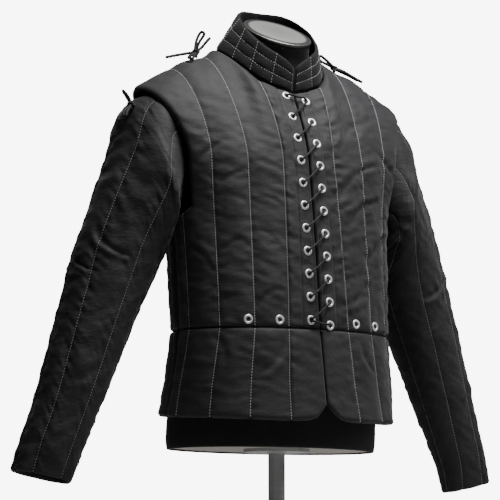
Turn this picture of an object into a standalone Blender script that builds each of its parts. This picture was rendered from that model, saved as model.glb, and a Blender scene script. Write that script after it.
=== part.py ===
"""Quilted cotton gambeson with its front lacing, worn by a limbless dress form on a low stand.

Metres, +Z up. The stand's base plate rests on z = 0, the front of the garment faces -Y and the
wearer's left is +X. Heights called rise are measured from the underside of the dress form.
"""
import math

import bmesh
import bpy
import numpy as np
from mathutils import Matrix, Vector
from mathutils.bvhtree import BVHTree

# The stand and the form
FORM_BASE_Z = 0.400
BASE_PLATE_RADIUS = 0.170
BASE_PLATE_THICKNESS = 0.008
POLE_RADIUS = 0.014
BOSS_RADIUS = 0.030
BOSS_HEIGHT = 0.018
FLANGE_RADIUS = 0.055
FLANGE_THICKNESS = 0.005
FLANGE_FALL = 0.002
BOSS_FALL = 0.004
POLE_SIDES = 18
BASE_PLATE_EDGE = 0.002
BASE_PLATE_SIDES = 40
BOARD_RECESS = 0.008
BOARD_THICKNESS = 0.0055
BOARD_RIM = 0.009
BOARD_SIDES = 32

# The quilted cloth
SEAM_GAP = 0.0003
WALL = 0.0085
QUILT_DEPTH = 0.0042
CHANNEL = 0.058
STEPS_PER_CHANNEL = 3
SIDE_COLUMN = 14
LAST_EVEN_COLUMN = 12
ARMHOLE_COLUMN = 11
FORM_ARM_COLUMN = 9
FRONT_HALF_GAP = 0.0015
LACING_NARROWING = 0.008
NARROWING_BY_COLUMN = (0.0, 0.35, 0.7, 1.0, 0.8, 0.6, 0.4, 0.2)
LACING_STRIP_HEIGHT = 0.85
WAIST_ROW_HEIGHT = 0.45
PUCKER = (0.86, 0.14, 1.9, 2.3)
SHOULDER_PULL = 6.0
SHOULDER_PULL_ACROSS = 0.5
PULL_STEP = 0.02

# Rises of the garment's levels
WAIST = 0.190
UNDERARM = 0.370
ARMHOLE_CORNER = 0.388
CHEST = 0.465
FRONT_HEM = 0.040
BACK_HEM = 0.060
BODICE_ROWS = 5
CHEST_ROWS = 3
SHOULDER_ROWS = 6
SKIRT_ROWS = 5
HEM_CORNER_LIFT = (0.030, 0.006, 0.001)

# Lacing
EYELET_HOLE = 0.0036
EYELET_BARREL = 0.0042
EYELET_FLANGE = 0.0078
EYELET_PROUD = 0.0013
EYELET_SIDES = 10
EYELET_LIP = 0.0003
EYELET_COUNT = 11
EYELET_TOP_RISE = 0.578
EYELET_PITCH = 0.0378
EYELET_STAGGER = 0.0035
EYELET_FROM_EDGE = 0.0180
WAIST_EYELET_RISE = 0.202
WAIST_EYELETS_ACROSS = (0.073, 0.121)
LACE_RADIUS = 0.0015
LACE_RESOLUTION = 2
LACE_OVER = 0.0040
LACE_BEHIND = -0.0102
LACE_REST = -0.0112
LACE_STRAND = 0.0016
LACE_RAISED = 0.0062
RAISED_RUNS = 3
RAISED_REACH = 0.0085
TURN_REACH = 0.0026
TURN_HEIGHT = 0.0024
INSIDE_INSET = 0.0025
TOP_TAIL = (0.012, 0.005)
BOTTOM_TAIL = (-0.006, -0.016)
BOW_STEM_RADIUS = 0.0018
BOW_CLEARANCE = 0.0006
KNOT_SIDES = 8
KNOT_DIAGONAL = 0.7

# Bows: piece, steps or knot radius, then the route's x, y and rise on the wearer's left.
# A knot's route is its centre and the place where its lace comes up through the cloth.
SHOULDER_BOW = {
    "right": (
        ("knot", 0.0042, ((0.137, 0.032, 0.6585), (0.1365, 0.031, 0.6492))),
        ("loop_up", 2, ((0.1365, 0.0315, 0.6645), (0.131, 0.030, 0.677), (0.1235, 0.028, 0.690),
                        (0.1265, 0.034, 0.694), (0.1335, 0.036, 0.680), (0.1395, 0.0345, 0.6643))),
        ("loop_down", 2, ((0.141, 0.028, 0.6545), (0.148, 0.018, 0.650), (0.157, 0.009, 0.6425),
                          (0.160, 0.016, 0.6445), (0.152, 0.026, 0.650), (0.1425, 0.0325, 0.6545))),
        ("tail_up", 2, ((0.1325, 0.034, 0.662), (0.124, 0.035, 0.669), (0.117, 0.033, 0.678),
                        (0.110, 0.031, 0.686))),
        ("tail_side", 2, ((0.143, 0.034, 0.6585), (0.158, 0.037, 0.6545), (0.175, 0.036, 0.650),
                          (0.193, 0.034, 0.645))),
    ),
    "left": (
        ("knot", 0.0042, ((0.137, 0.032, 0.6585), (0.1365, 0.031, 0.6492))),
        ("loop_up", 2, ((0.1345, 0.0335, 0.6643), (0.126, 0.036, 0.671), (0.1155, 0.038, 0.679),
                        (0.1135, 0.033, 0.677), (0.122, 0.030, 0.670), (0.1315, 0.0285, 0.6635))),
        ("loop_down", 2, ((0.1415, 0.028, 0.6555), (0.153, 0.020, 0.651), (0.167, 0.011, 0.640),
                          (0.173, 0.015, 0.639), (0.163, 0.022, 0.646), (0.1435, 0.031, 0.6555))),
        ("tail_up", 2, ((0.137, 0.0365, 0.6625), (0.131, 0.044, 0.667), (0.122, 0.052, 0.674),
                        (0.115, 0.053, 0.681))),
        ("tail_side", 2, ((0.142, 0.0355, 0.6605), (0.157, 0.036, 0.657), (0.175, 0.034, 0.649),
                          (0.194, 0.031, 0.640))),
    ),
}
SLEEVE_BOW = (
    ("knot", 0.0045, ((0.2725, 0.008, 0.5535), (0.2652, 0.0110, 0.5482))),
    ("loop_up", 2, ((0.2735, 0.0075, 0.5600), (0.279, 0.0075, 0.567), (0.286, 0.008, 0.5745),
                    (0.2845, 0.0135, 0.576), (0.278, 0.0145, 0.568), (0.2735, 0.0125, 0.5600))),
    ("loop_down", 2, ((0.2775, 0.004, 0.5500), (0.284, -0.001, 0.543), (0.2895, -0.004, 0.533),
                      (0.2905, 0.001, 0.534), (0.2855, 0.006, 0.543), (0.2785, 0.009, 0.5500))),
)

# Torso sections: rise, half width, front depth, back depth, centre y, roundness exponent
TORSO_SECTIONS = (
    (0.040, 0.211, 0.170, 0.148, 0.006, 2.00),
    (0.100, 0.204, 0.149, 0.132, -0.002, 2.05),
    (0.150, 0.1985, 0.136, 0.122, -0.008, 2.12),
    (0.190, 0.1965, 0.1285, 0.118, -0.010, 2.15),
    (0.250, 0.1975, 0.125, 0.120, -0.008, 2.15),
    (0.333, 0.201, 0.120, 0.126, -0.004, 2.15),
    (0.400, 0.209, 0.116, 0.131, 0.000, 2.15),
    (0.465, 0.230, 0.107, 0.134, 0.000, 2.15),
)

# Top edge of the bodice: column, x, y, rise, then the direction in which a column arrives there
FRONT_TOP_EDGE = (
    (0, 0.000, -0.057, 0.590, 0.00, 0.055, 0.115),
    (2, 0.036, -0.051, 0.600, 0.00, 0.075, 0.115),
    (3, 0.060, -0.043, 0.611, 0.01, 0.105, 0.110),
    (4, 0.084, -0.018, 0.636, 0.02, 0.140, 0.080),
    (5, 0.103, 0.030, 0.666, 0.02, 0.180, 0.045),
    (6, 0.128, 0.030, 0.6545, 0.02, 0.190, 0.035),
    (9, 0.192, 0.030, 0.628, 0.03, 0.190, 0.020),
    (11, 0.257, 0.030, 0.588, 0.05, 0.190, 0.000),
)
BACK_TOP_EDGE = (
    (0, 0.000, 0.090, 0.684, 0.00, -0.060, 0.120),
    (2, 0.040, 0.083, 0.682, 0.00, -0.070, 0.115),
    (4, 0.084, 0.058, 0.674, 0.00, -0.110, 0.080),
    (5, 0.103, 0.030, 0.666, 0.02, -0.150, 0.040),
    (6, 0.128, 0.030, 0.6545, 0.02, -0.160, 0.030),
    (9, 0.192, 0.030, 0.628, 0.03, -0.160, 0.020),
    (11, 0.257, 0.030, 0.588, 0.04, -0.170, 0.000),
)
NECK_COLUMN = 5

# Sleeve sections: outer x and rise, inner x and rise, half depth, centre y, roll in degrees
SLEEVE_SECTIONS = (
    (0.2140, 0.569, 0.1900, 0.391, 0.0525, 0.011, 0),
    (0.2390, 0.575, 0.2050, 0.382, 0.0574, 0.0078, 12),
    (0.2600, 0.571, 0.2110, 0.366, 0.0614, 0.0093, 24),
    (0.2760, 0.553, 0.2110, 0.347, 0.065, 0.0105, 30),
    (0.2910, 0.503, 0.2105, 0.328, 0.066, 0.016, 33),
    (0.3090, 0.450, 0.2115, 0.310, 0.067, 0.022, 33),
    (0.3300, 0.390, 0.2140, 0.294, 0.067, 0.030, 31),
    (0.3515, 0.329, 0.2180, 0.2785, 0.0655, 0.035, 30),
    (0.3620, 0.294, 0.2330, 0.246, 0.063, 0.037, 28),
    (0.3715, 0.259, 0.2490, 0.213, 0.0605, 0.037, 26),
    (0.3850, 0.213, 0.2680, 0.170, 0.057, 0.0365, 25),
    (0.3985, 0.168, 0.2870, 0.126, 0.0525, 0.036, 23),
    (0.4100, 0.127, 0.3040, 0.086, 0.049, 0.0355, 22),
    (0.4215, 0.087, 0.3210, 0.0472, 0.0445, 0.0355, 20),
    (0.4345, 0.050, 0.3365, 0.0118, 0.041, 0.036, 18),
    (0.4480, 0.0133, 0.3510, -0.0243, 0.037, 0.037, 17),
    (0.4635, -0.0406, 0.3645, -0.0624, 0.032, 0.041, 13),
)
SLEEVE_CHANNELS = 7
SLEEVE_FIRST_LINE = 30.0
SLEEVE_ROUNDNESS = 2.3
SLEEVE_WALL = 0.0065
SLEEVE_QUILT_DEPTH = 0.0032
SLEEVE_PUCKER = (0.72, 0.28, 2.6, 1.7)
SLEEVE_END_HEIGHT = 0.5

# Collar: share of the way round from the front edge, top x, y and rise
COLLAR_TOP = (
    (0.00, 0.0020, -0.0625, 0.641),
    (0.10, 0.024, -0.0605, 0.649),
    (0.24, 0.053, -0.046, 0.668),
    (0.42, 0.068, -0.012, 0.699),
    (0.60, 0.062, 0.020, 0.725),
    (0.78, 0.045, 0.046, 0.740),
    (1.00, 0.000, 0.060, 0.744),
)
COLLAR_SQUARES = 7
COLLAR_SQUARE_ROWS = 3
COLLAR_WALL = 0.0055
COLLAR_QUILT_DEPTH = 0.0022
COLLAR_CORNER_DROP = (0.011, 0.002)

# Hips of the form below the waist: rise, half width, front depth, back depth, centre y
FORM_HIPS = (
    (0.000, 0.188, 0.124, 0.114, 0.018),
    (0.015, 0.191, 0.126, 0.116, 0.018),
    (0.070, 0.189, 0.125, 0.112, 0.014),
    (0.130, 0.181, 0.117, 0.106, 0.004),
)
# Neck rings of the form: centre y, rise, half width, half depth, forward tilt in degrees
FORM_NECK = (
    (0.022, 0.650, 0.078, 0.066, 14.0),
    (0.012, 0.674, 0.064, 0.062, 24.0),
    (-0.002, 0.697, 0.0585, 0.062, 30.0),
)
NECK_CAP_SIDES = 32
NECK_CAP_EDGE = 0.0045
NECK_CAP_CROWN = 0.0015
NECK_CAP_FLAT = (0.6, 0.7)
NECK_CAP_RIM = (0.97, 0.001)

# Room between the cloth's inside and the form: at the top edge, at the chest and at the waist
FORM_GAPS = (0.0012, 0.0065, 0.0100)
FORM_ROWS = (0, 3, 5, 8, 11, 14)
FORM_ARM_BULGE = 0.001
ARM_DOME = 0.6
ARM_TIP = 1.4
HIP_RING_ASPECT = 1.5

FORM_COLLECTION = "gambeson_on_dress_form"


def clear_scene():
    for item in list(bpy.data.objects):
        bpy.data.objects.remove(item, do_unlink=True)


def new_collection(name):
    group = bpy.data.collections.new(name)
    bpy.context.scene.collection.children.link(group)
    return group


def principled(name, colour, roughness, metallic=0.0):
    material = bpy.data.materials.new(name)
    material.use_nodes = True
    shader = material.node_tree.nodes["Principled BSDF"]
    shader.inputs["Base Color"].default_value = (*colour, 1.0)
    shader.inputs["Roughness"].default_value = roughness
    shader.inputs["Metallic"].default_value = metallic
    return material


def smooth_rows(table, position):
    """Read a table of rows at a position on its first column, on a smooth curve."""
    rows = np.asarray(table, dtype=float)
    keys = rows[:, 0]
    slopes = np.gradient(rows[:, 1:], keys, axis=0)
    position = min(max(position, keys[0]), keys[-1])
    index = min(int(np.searchsorted(keys, position, side="right")) - 1, len(keys) - 2)
    span = keys[index + 1] - keys[index]
    t = (position - keys[index]) / span
    return hermite(rows[index, 1:], slopes[index] * span, rows[index + 1, 1:], slopes[index + 1] * span, t)


def hermite(start, start_pull, end, end_pull, t):
    return (start * (2 * t**3 - 3 * t**2 + 1) + start_pull * (t**3 - 2 * t**2 + t)
            + end * (3 * t**2 - 2 * t**3) + end_pull * (t**3 - t**2))


def section_point(rise, arc, back=False, side_share=None):
    """A point on the torso's section, an arc length from the centre line or a share of the rest."""
    half_width, front, rear, centre, power = smooth_rows(TORSO_SECTIONS, rise)
    depth = rear if back else -front
    angles = np.linspace(0.0, math.pi / 2, 121)
    across = half_width * np.sin(angles) ** (2 / power)
    along = depth * np.cos(angles) ** (2 / power)
    lengths = np.concatenate(([0.0], np.cumsum(np.hypot(np.diff(across), np.diff(along)))))
    if side_share is not None:
        arc = arc + side_share * (lengths[-1] - arc)
    return np.array((np.interp(arc, lengths, across), centre + np.interp(arc, lengths, along), rise))


def column_arc(column, rise, back):
    """Arc length of a column of points from the centre line; the lacing channel narrows upwards."""
    step = CHANNEL / STEPS_PER_CHANNEL
    arc = step * min(column, LAST_EVEN_COLUMN)
    if not back:
        weight = NARROWING_BY_COLUMN[column] if column < len(NARROWING_BY_COLUMN) else 0.0
        arc -= LACING_NARROWING * weight * min(max((rise - WAIST) / (CHEST - WAIST), 0.0), 1.0)
    return arc


def torso_point(column, rise, back=False):
    arc = column_arc(column, rise, back)
    share = None
    if column > LAST_EVEN_COLUMN:
        share = (column - LAST_EVEN_COLUMN) / (SIDE_COLUMN - LAST_EVEN_COLUMN)
    point = section_point(rise, arc, back, share)
    if not back:
        point[0] = max(point[0], FRONT_HALF_GAP)
    return point


def bodice_surface(back=False):
    """Rows of crown points of one half of the bodice, on the wearer's left, waist to top edge."""
    edge = BACK_TOP_EDGE if back else FRONT_TOP_EDGE
    rows = BODICE_ROWS + CHEST_ROWS + SHOULDER_ROWS
    grid = np.full((rows + 1, SIDE_COLUMN + 1, 3), np.nan)
    for column in range(SIDE_COLUMN + 1):
        drop = max(column - ARMHOLE_COLUMN, 0) / (SIDE_COLUMN - ARMHOLE_COLUMN)
        top = ARMHOLE_CORNER - (ARMHOLE_CORNER - UNDERARM) * (1 - (1 - drop) ** 2)
        for row in range(BODICE_ROWS + 1):
            grid[row, column] = torso_point(column, WAIST + (top - WAIST) * row / BODICE_ROWS, back)
        if column > ARMHOLE_COLUMN:
            continue
        for row in range(1, CHEST_ROWS + 1):
            rise = ARMHOLE_CORNER + (CHEST - ARMHOLE_CORNER) * row / CHEST_ROWS
            grid[BODICE_ROWS + row, column] = torso_point(column, rise, back)
        chest = grid[BODICE_ROWS + CHEST_ROWS, column]
        x, y, rise, *pull = smooth_rows(edge, column)
        x = max(x, FRONT_HALF_GAP) if not back else x
        end = np.array((x, y, rise))
        start_pull = (chest - torso_point(column, CHEST - PULL_STEP, back)) * SHOULDER_PULL
        start_pull[0] *= SHOULDER_PULL_ACROSS
        for row in range(1, SHOULDER_ROWS + 1):
            point = hermite(chest, start_pull, end, np.array(pull), row / SHOULDER_ROWS)
            grid[BODICE_ROWS + CHEST_ROWS + row, column] = point
    return grid


def skirt_surface(back=False):
    """Rows of crown points of one half of the skirt, on the wearer's left, waist to hem."""
    grid = np.empty((SKIRT_ROWS + 1, SIDE_COLUMN + 1, 3))
    for column in range(SIDE_COLUMN + 1):
        round_share = column / SIDE_COLUMN / 2
        if back:
            round_share = 1 - round_share
        hem = FRONT_HEM + (BACK_HEM - FRONT_HEM) * (1 - math.cos(math.pi * round_share)) / 2
        if not back and column < len(HEM_CORNER_LIFT):
            hem += HEM_CORNER_LIFT[column]
        for row in range(SKIRT_ROWS + 1):
            rise = WAIST + (hem - WAIST) * row / SKIRT_ROWS
            grid[row, column] = torso_point(column, rise, back)
    return grid


def surface_normals(grid, outside):
    """Unit normals of a grid of points, turned to the side on which the point outside lies."""
    normals = np.full(grid.shape, np.nan)
    rows, columns = grid.shape[:2]
    for row in range(rows):
        for column in range(columns):
            if np.isnan(grid[row, column, 0]):
                continue
            ends = []
            for step_row, step_column in ((1, 0), (0, 1)):
                pair = []
                for sign in (1, -1):
                    r, c = row + sign * step_row, column + sign * step_column
                    inside = 0 <= r < rows and 0 <= c < columns and not np.isnan(grid[r, c, 0])
                    pair.append(grid[r, c] if inside else grid[row, column])
                ends.append(pair[0] - pair[1])
            normal = np.cross(ends[0], ends[1])
            normal /= np.linalg.norm(normal)
            if normal @ (grid[row, column] - outside) < 0:
                normal = -normal
            normals[row, column] = normal
    return normals


def flatten(normals, index, axis):
    """Make the normals along a seam lie in the seam's plane, so that both walls end in it."""
    edge = normals[index]
    edge[..., axis] = 0.0
    edge /= np.linalg.norm(edge, axis=-1, keepdims=True)
    normals[index] = edge


def quilt_share(column, back=False):
    """How far a column stands up between the stitched lines, from 0 on a line to 1."""
    if column == SIDE_COLUMN:
        return 0.0
    if not back and column < STEPS_PER_CHANNEL:
        return LACING_STRIP_HEIGHT
    return 0.0 if column % STEPS_PER_CHANNEL == 0 else 1.0


def pucker(row, column):
    """Share of the full height that a crown keeps, uneven along its channel."""
    level, swing, by_row, by_channel = PUCKER
    return level + swing * math.sin(by_row * row + by_channel * (column // STEPS_PER_CHANNEL))


def quilted_half(grid, back, seam_rows, outside):
    """Outer and inner points of a half panel: raised quilting over a plain inside."""
    normals = surface_normals(grid, outside)
    flatten(normals, (slice(None), SIDE_COLUMN), 1)
    flatten(normals, (slice(None), 0), 0)
    flatten(normals, (0, slice(None)), 2)
    if seam_rows == "bodice":
        flatten(normals, (grid.shape[0] - 1, slice(NECK_COLUMN, ARMHOLE_COLUMN + 1)), 1)
    outer = grid.copy()
    for row in range(grid.shape[0]):
        for column in range(grid.shape[1]):
            height = quilt_share(column, back)
            if column >= STEPS_PER_CHANNEL or back:
                height *= pucker(row, column)
            if row == 0:
                height *= WAIST_ROW_HEIGHT
            outer[row, column] = grid[row, column] - normals[row, column] * QUILT_DEPTH * (1 - height)
    inner = grid - normals * WALL
    return outer, inner


def mirrored(points):
    return points * np.array((-1.0, 1.0, 1.0))


def whole(points):
    """Join a wearer's-left half, whose column 0 is on the centre line, to its mirror image."""
    return np.concatenate((mirrored(points)[:, :0:-1], points), axis=1)


def kept_cells(grid):
    """The cells of a grid whose four corners all exist."""
    found = ~np.isnan(grid[:, :, 0])
    full = found[:-1, :-1] & found[1:, :-1] & found[:-1, 1:] & found[1:, 1:]
    return {(int(r), int(c)) for r, c in zip(*np.nonzero(full))}


def wall_mesh(name, outer, inner, closed=False):
    """A closed wall between two like grids; closed joins the last column to the first."""
    mesh = bmesh.new()
    cells = kept_cells(outer)
    columns = outer.shape[1] if closed else outer.shape[1] + 1
    verts = {}

    def vertex(side, row, column):
        key = (side, row, column % columns)
        if key not in verts:
            point = (outer, inner)[side][row, column % columns]
            verts[key] = mesh.verts.new((point[0], point[1], point[2] + FORM_BASE_Z))
        return verts[key]

    if closed:
        cells = {(r, c) for r in range(outer.shape[0] - 1) for c in range(outer.shape[1])}
    edges = {}
    for row, column in sorted(cells):
        corners = ((row, column), (row, column + 1), (row + 1, column + 1), (row + 1, column))
        mesh.faces.new([vertex(0, *corner) for corner in corners])
        mesh.faces.new([vertex(1, *corner) for corner in reversed(corners)])
        for start, end in zip(corners, corners[1:] + corners[:1]):
            start, end = (start[0], start[1] % columns), (end[0], end[1] % columns)
            if (end, start) in edges:
                del edges[(end, start)]
            else:
                edges[(start, end)] = True
    for start, end in edges:
        ring = (vertex(0, *end), vertex(0, *start), vertex(1, *start), vertex(1, *end))
        mesh.faces.new(ring)
    bmesh.ops.recalc_face_normals(mesh, faces=mesh.faces)
    data = bpy.data.meshes.new(name)
    mesh.to_mesh(data)
    mesh.free()
    return data


def add_object(name, data, material, group):
    item = bpy.data.objects.new(name, data)
    if not data.materials:
        data.materials.append(material)
    group.objects.link(item)
    return item


def shift(points, axis, distance):
    moved = points.copy()
    moved[..., axis] += distance
    return moved


def bodice_panels(group, cloth):
    """Two fronts that meet edge to edge and a back; returns the crown surfaces of both halves."""
    outside = np.array((0.0, 0.02, 0.35))
    front = bodice_surface()
    back = bodice_surface(back=True)
    half_gap = SEAM_GAP / 2
    front_walls = [shift(shift(side, 1, -half_gap), 2, half_gap)
                   for side in quilted_half(front, False, "bodice", outside)]
    back_walls = [shift(shift(side, 1, half_gap), 2, half_gap)
                  for side in quilted_half(back, True, "bodice", outside)]
    panels = {}
    panels["left"] = add_object("bodice_front_left", wall_mesh("bodice_front_left", *front_walls),
                                cloth, group)
    panels["right"] = add_object("bodice_front_right",
                                 wall_mesh("bodice_front_right", *[mirrored(s) for s in front_walls]),
                                 cloth, group)
    add_object("bodice_back", wall_mesh("bodice_back", *[whole(s) for s in back_walls]), cloth, group)
    return panels, front, back


def skirt_panels(group, cloth):
    """Two skirt fronts with rounded lower corners and a back, sewn on at the waist."""
    outside = np.array((0.0, 0.0, 0.12))
    half_gap = SEAM_GAP / 2
    front = [shift(shift(side, 1, -half_gap), 2, -half_gap)
             for side in quilted_half(skirt_surface(), False, "skirt", outside)]
    back = [shift(shift(side, 1, half_gap), 2, -half_gap)
            for side in quilted_half(skirt_surface(back=True), True, "skirt", outside)]
    add_object("skirt_front_left", wall_mesh("skirt_front_left", *front), cloth, group)
    add_object("skirt_front_right", wall_mesh("skirt_front_right", *[mirrored(s) for s in front]),
               cloth, group)
    add_object("skirt_back", wall_mesh("skirt_back", *[whole(s) for s in back]), cloth, group)


def sleeve_points():
    """Outer and inner rings of the wearer's left sleeve, from the tucked head to the cuff."""
    around = SLEEVE_CHANNELS * STEPS_PER_CHANNEL
    outer = np.empty((len(SLEEVE_SECTIONS), around, 3))
    inner = np.empty_like(outer)
    for row, (x_out, rise_out, x_in, rise_in, half_depth, y, roll) in enumerate(SLEEVE_SECTIONS):
        centre = np.array(((x_out + x_in) / 2, y, (rise_out + rise_in) / 2))
        across = np.array(((x_out - x_in) / 2, 0.0, (rise_out - rise_in) / 2))
        half_width = np.linalg.norm(across)
        across /= half_width
        turn = math.radians(roll)
        backwards = np.array((0.0, 1.0, 0.0))
        across, backwards = (across * math.cos(turn) + backwards * math.sin(turn),
                             backwards * math.cos(turn) - across * math.sin(turn))
        for step in range(around):
            angle = math.radians(SLEEVE_FIRST_LINE + 360.0 * step / around)
            channel, place = divmod(step, STEPS_PER_CHANNEL)
            height = 0.0
            if place and 0 < row < len(SLEEVE_SECTIONS) - 1:
                level, swing, by_row, by_channel = SLEEVE_PUCKER
                height = level + swing * math.sin(by_row * row + by_channel * channel + place)
            elif place:
                height = SLEEVE_END_HEIGHT
            drop = SLEEVE_QUILT_DEPTH * (1 - height)
            sides = []
            for part in (math.cos(angle), -math.sin(angle)):
                sides.append(math.copysign(abs(part) ** (2 / SLEEVE_ROUNDNESS), part))
            for target, inset in ((outer, drop), (inner, SLEEVE_WALL)):
                target[row, step] = (centre + across * (half_width - inset) * sides[0]
                                     + backwards * (half_depth - inset) * sides[1])
    return outer, inner


def sleeves(group, cloth):
    outer, inner = sleeve_points()
    add_object("sleeve_left", wall_mesh("sleeve_left", outer, inner, closed=True), cloth, group)
    add_object("sleeve_right", wall_mesh("sleeve_right", mirrored(outer), mirrored(inner), closed=True),
               cloth, group)


def neckline(front, back):
    """Top edge of the bodice round the neck on the wearer's left, front centre to back centre."""
    return np.concatenate((front[-1, :NECK_COLUMN + 1], back[-1, NECK_COLUMN - 1::-1]))


def collar(group, cloth, front, back):
    """Stand collar quilted in squares, open at the front, its top corners rounded."""
    base = neckline(front, back)
    lengths = np.concatenate(([0.0], np.cumsum(np.linalg.norm(np.diff(base, axis=0), axis=1))))
    share = lengths / lengths[-1]
    columns = COLLAR_SQUARES * 2
    rows = COLLAR_SQUARE_ROWS * 2
    grid = np.empty((rows + 1, columns + 1, 3))
    for column in range(columns + 1):
        place = column / columns
        foot = np.array([np.interp(place, share, base[:, axis]) for axis in range(3)])
        foot[0] = max(foot[0], COLLAR_TOP[0][1])
        foot[2] += SEAM_GAP / 2
        head = smooth_rows(COLLAR_TOP, place)
        if column < len(COLLAR_CORNER_DROP):
            head = head - np.array((0.0, 0.0, COLLAR_CORNER_DROP[column]))
        for row in range(rows + 1):
            grid[row, column] = foot + (head - foot) * row / rows
    normals = surface_normals(grid, np.array((0.0, 0.02, 0.66)))
    flatten(normals, (slice(None), 0), 0)
    flatten(normals, (slice(None), columns), 0)
    flatten(normals, (slice(None), slice(None)), 2)
    outer = grid.copy()
    for row in range(rows + 1):
        for column in range(columns + 1):
            height = 1.0 if row % 2 and column % 2 else 0.0
            outer[row, column] -= normals[row, column] * COLLAR_QUILT_DEPTH * (1 - height)
    inner = grid - normals * COLLAR_WALL
    halves = [np.concatenate((side, mirrored(side)[:, -2::-1]), axis=1) for side in (outer, inner)]
    add_object("collar", wall_mesh("collar", *halves), cloth, group)


def seat(panel, x, rise):
    """Where a flat ring rests on a panel's front: its centre and the outward direction."""
    bpy.context.view_layer.update()
    tree = BVHTree.FromObject(panel, bpy.context.evaluated_depsgraph_get())
    towards_back = Vector((0.0, 1.0, 0.0))
    places, normals = [], []
    offsets = [(0.0, 0.0)]
    for step in range(EYELET_SIDES):
        angle = 2 * math.pi * step / EYELET_SIDES
        offsets.append((EYELET_FLANGE * math.cos(angle), EYELET_FLANGE * math.sin(angle)))
    for side, up in offsets:
        start = Vector((x + side, -1.0, rise + up + FORM_BASE_Z))
        place, normal, _, _ = tree.ray_cast(start, towards_back)
        if place is not None:
            places.append(place)
            normals.append(normal)
    direction = sum(normals, Vector()).normalized()
    height = max((place - places[0]).dot(direction) for place in places)
    return places[0] + direction * (height + SEAM_GAP), direction


def turned(name, profile, sides, material, group, ring=False):
    """A turned piece: its profile of radius and height with a Screw modifier.

    A ring's profile is closed and runs outwards along its underside; any other runs from the top of
    its axis down to the bottom.
    """
    edges = [(index, index + 1) for index in range(len(profile) - 1)]
    if ring:
        edges.append((len(profile) - 1, 0))
    data = bpy.data.meshes.new(name)
    data.from_pydata([(radius, 0.0, height) for radius, height in profile], edges, [])
    item = add_object(name, data, material, group)
    screw = item.modifiers.new("turn", "SCREW")
    screw.axis = "Z"
    screw.steps = sides
    screw.render_steps = sides
    screw.use_merge_vertices = True
    screw.merge_threshold = 0.00001
    screw.use_normal_flip = ring
    return item


def placed(place, direction):
    """A frame at a place whose Z axis points out of the cloth and whose Y axis points upwards."""
    out = direction.normalized()
    side = Vector((0.0, 0.0, 1.0)).cross(out).normalized()
    turn = Matrix((side, out.cross(side), out)).transposed().to_4x4()
    return Matrix.Translation(place) @ turn


def punch(panel, frames, cutters):
    """Cut the eyelets' holes through a panel, one cutter for all of them."""
    mesh = bmesh.new()
    for frame in frames:
        bmesh.ops.create_cone(mesh, cap_ends=True, segments=EYELET_SIDES, depth=WALL * 4,
                              radius1=EYELET_BARREL + SEAM_GAP, radius2=EYELET_BARREL + SEAM_GAP,
                              matrix=frame)
    data = bpy.data.meshes.new("holes_" + panel.name)
    mesh.to_mesh(data)
    mesh.free()
    cutter = bpy.data.objects.new("holes_" + panel.name, data)
    cutter.hide_render = True
    cutter.display_type = "WIRE"
    cutters.objects.link(cutter)
    cut = panel.modifiers.new("holes", "BOOLEAN")
    cut.operation = "DIFFERENCE"
    cut.object = cutter


def eyelets(panels, group, cutters, metal):
    """Eleven eyelets up each front edge, the left side lower for spiral lacing, and two on each waist."""
    profile = ((EYELET_HOLE, -WALL), (EYELET_BARREL, -WALL), (EYELET_BARREL, 0.0),
               (EYELET_FLANGE, 0.0), (EYELET_HOLE + EYELET_LIP, EYELET_PROUD))
    rows = {}
    for side, sign, stagger in (("right", -1.0, 1.0), ("left", 1.0, -1.0)):
        frames = []
        for number in range(EYELET_COUNT):
            rise = EYELET_TOP_RISE - EYELET_PITCH * number + stagger * EYELET_STAGGER
            frames.append(placed(*seat(panels[side], sign * EYELET_FROM_EDGE, rise)))
        rows[side] = list(frames)
        for across in WAIST_EYELETS_ACROSS:
            frames.append(placed(*seat(panels[side], sign * across, WAIST_EYELET_RISE)))
        for number, frame in enumerate(frames, start=1):
            ring = turned(f"eyelet_{side}_{number:02d}", profile, EYELET_SIDES, metal, group, ring=True)
            ring.matrix_world = frame
        punch(panels[side], frames, cutters)
    return rows


def tube(name, points, radius, resolution, material, group):
    """A round cord along points, on one open spline with closed ends."""
    curve = bpy.data.curves.new(name, "CURVE")
    curve.dimensions = "3D"
    curve.bevel_depth = radius
    curve.bevel_resolution = resolution
    curve.use_fill_caps = True
    spline = curve.splines.new("POLY")
    spline.points.add(len(points) - 1)
    for knot, point in zip(spline.points, points):
        knot.co = (*point, 1.0)
    curve.materials.append(material)
    item = bpy.data.objects.new(name, curve)
    group.objects.link(item)
    return item


def lace_end(frame, towards, lift, inwards, raised):
    """Points of a lace that turns through an eyelet, from above the flange to behind the wall.

    A raised run has one more point, which keeps it off the cloth where the chest is rounder.
    """
    place = frame.translation
    side, up, out = (frame.col[axis].to_3d() for axis in range(3))
    along = (towards - place)
    along = (along - out * along.dot(out)).normalized()
    strand = place + up * lift
    turns = [(TURN_REACH, LACE_OVER), (0.0, TURN_HEIGHT), (0.0, LACE_BEHIND)]
    if raised:
        turns.insert(0, (RAISED_REACH, LACE_RAISED))
    points = [strand + along * reach + out * height for reach, height in turns]
    return points if inwards else points[::-1]


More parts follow.
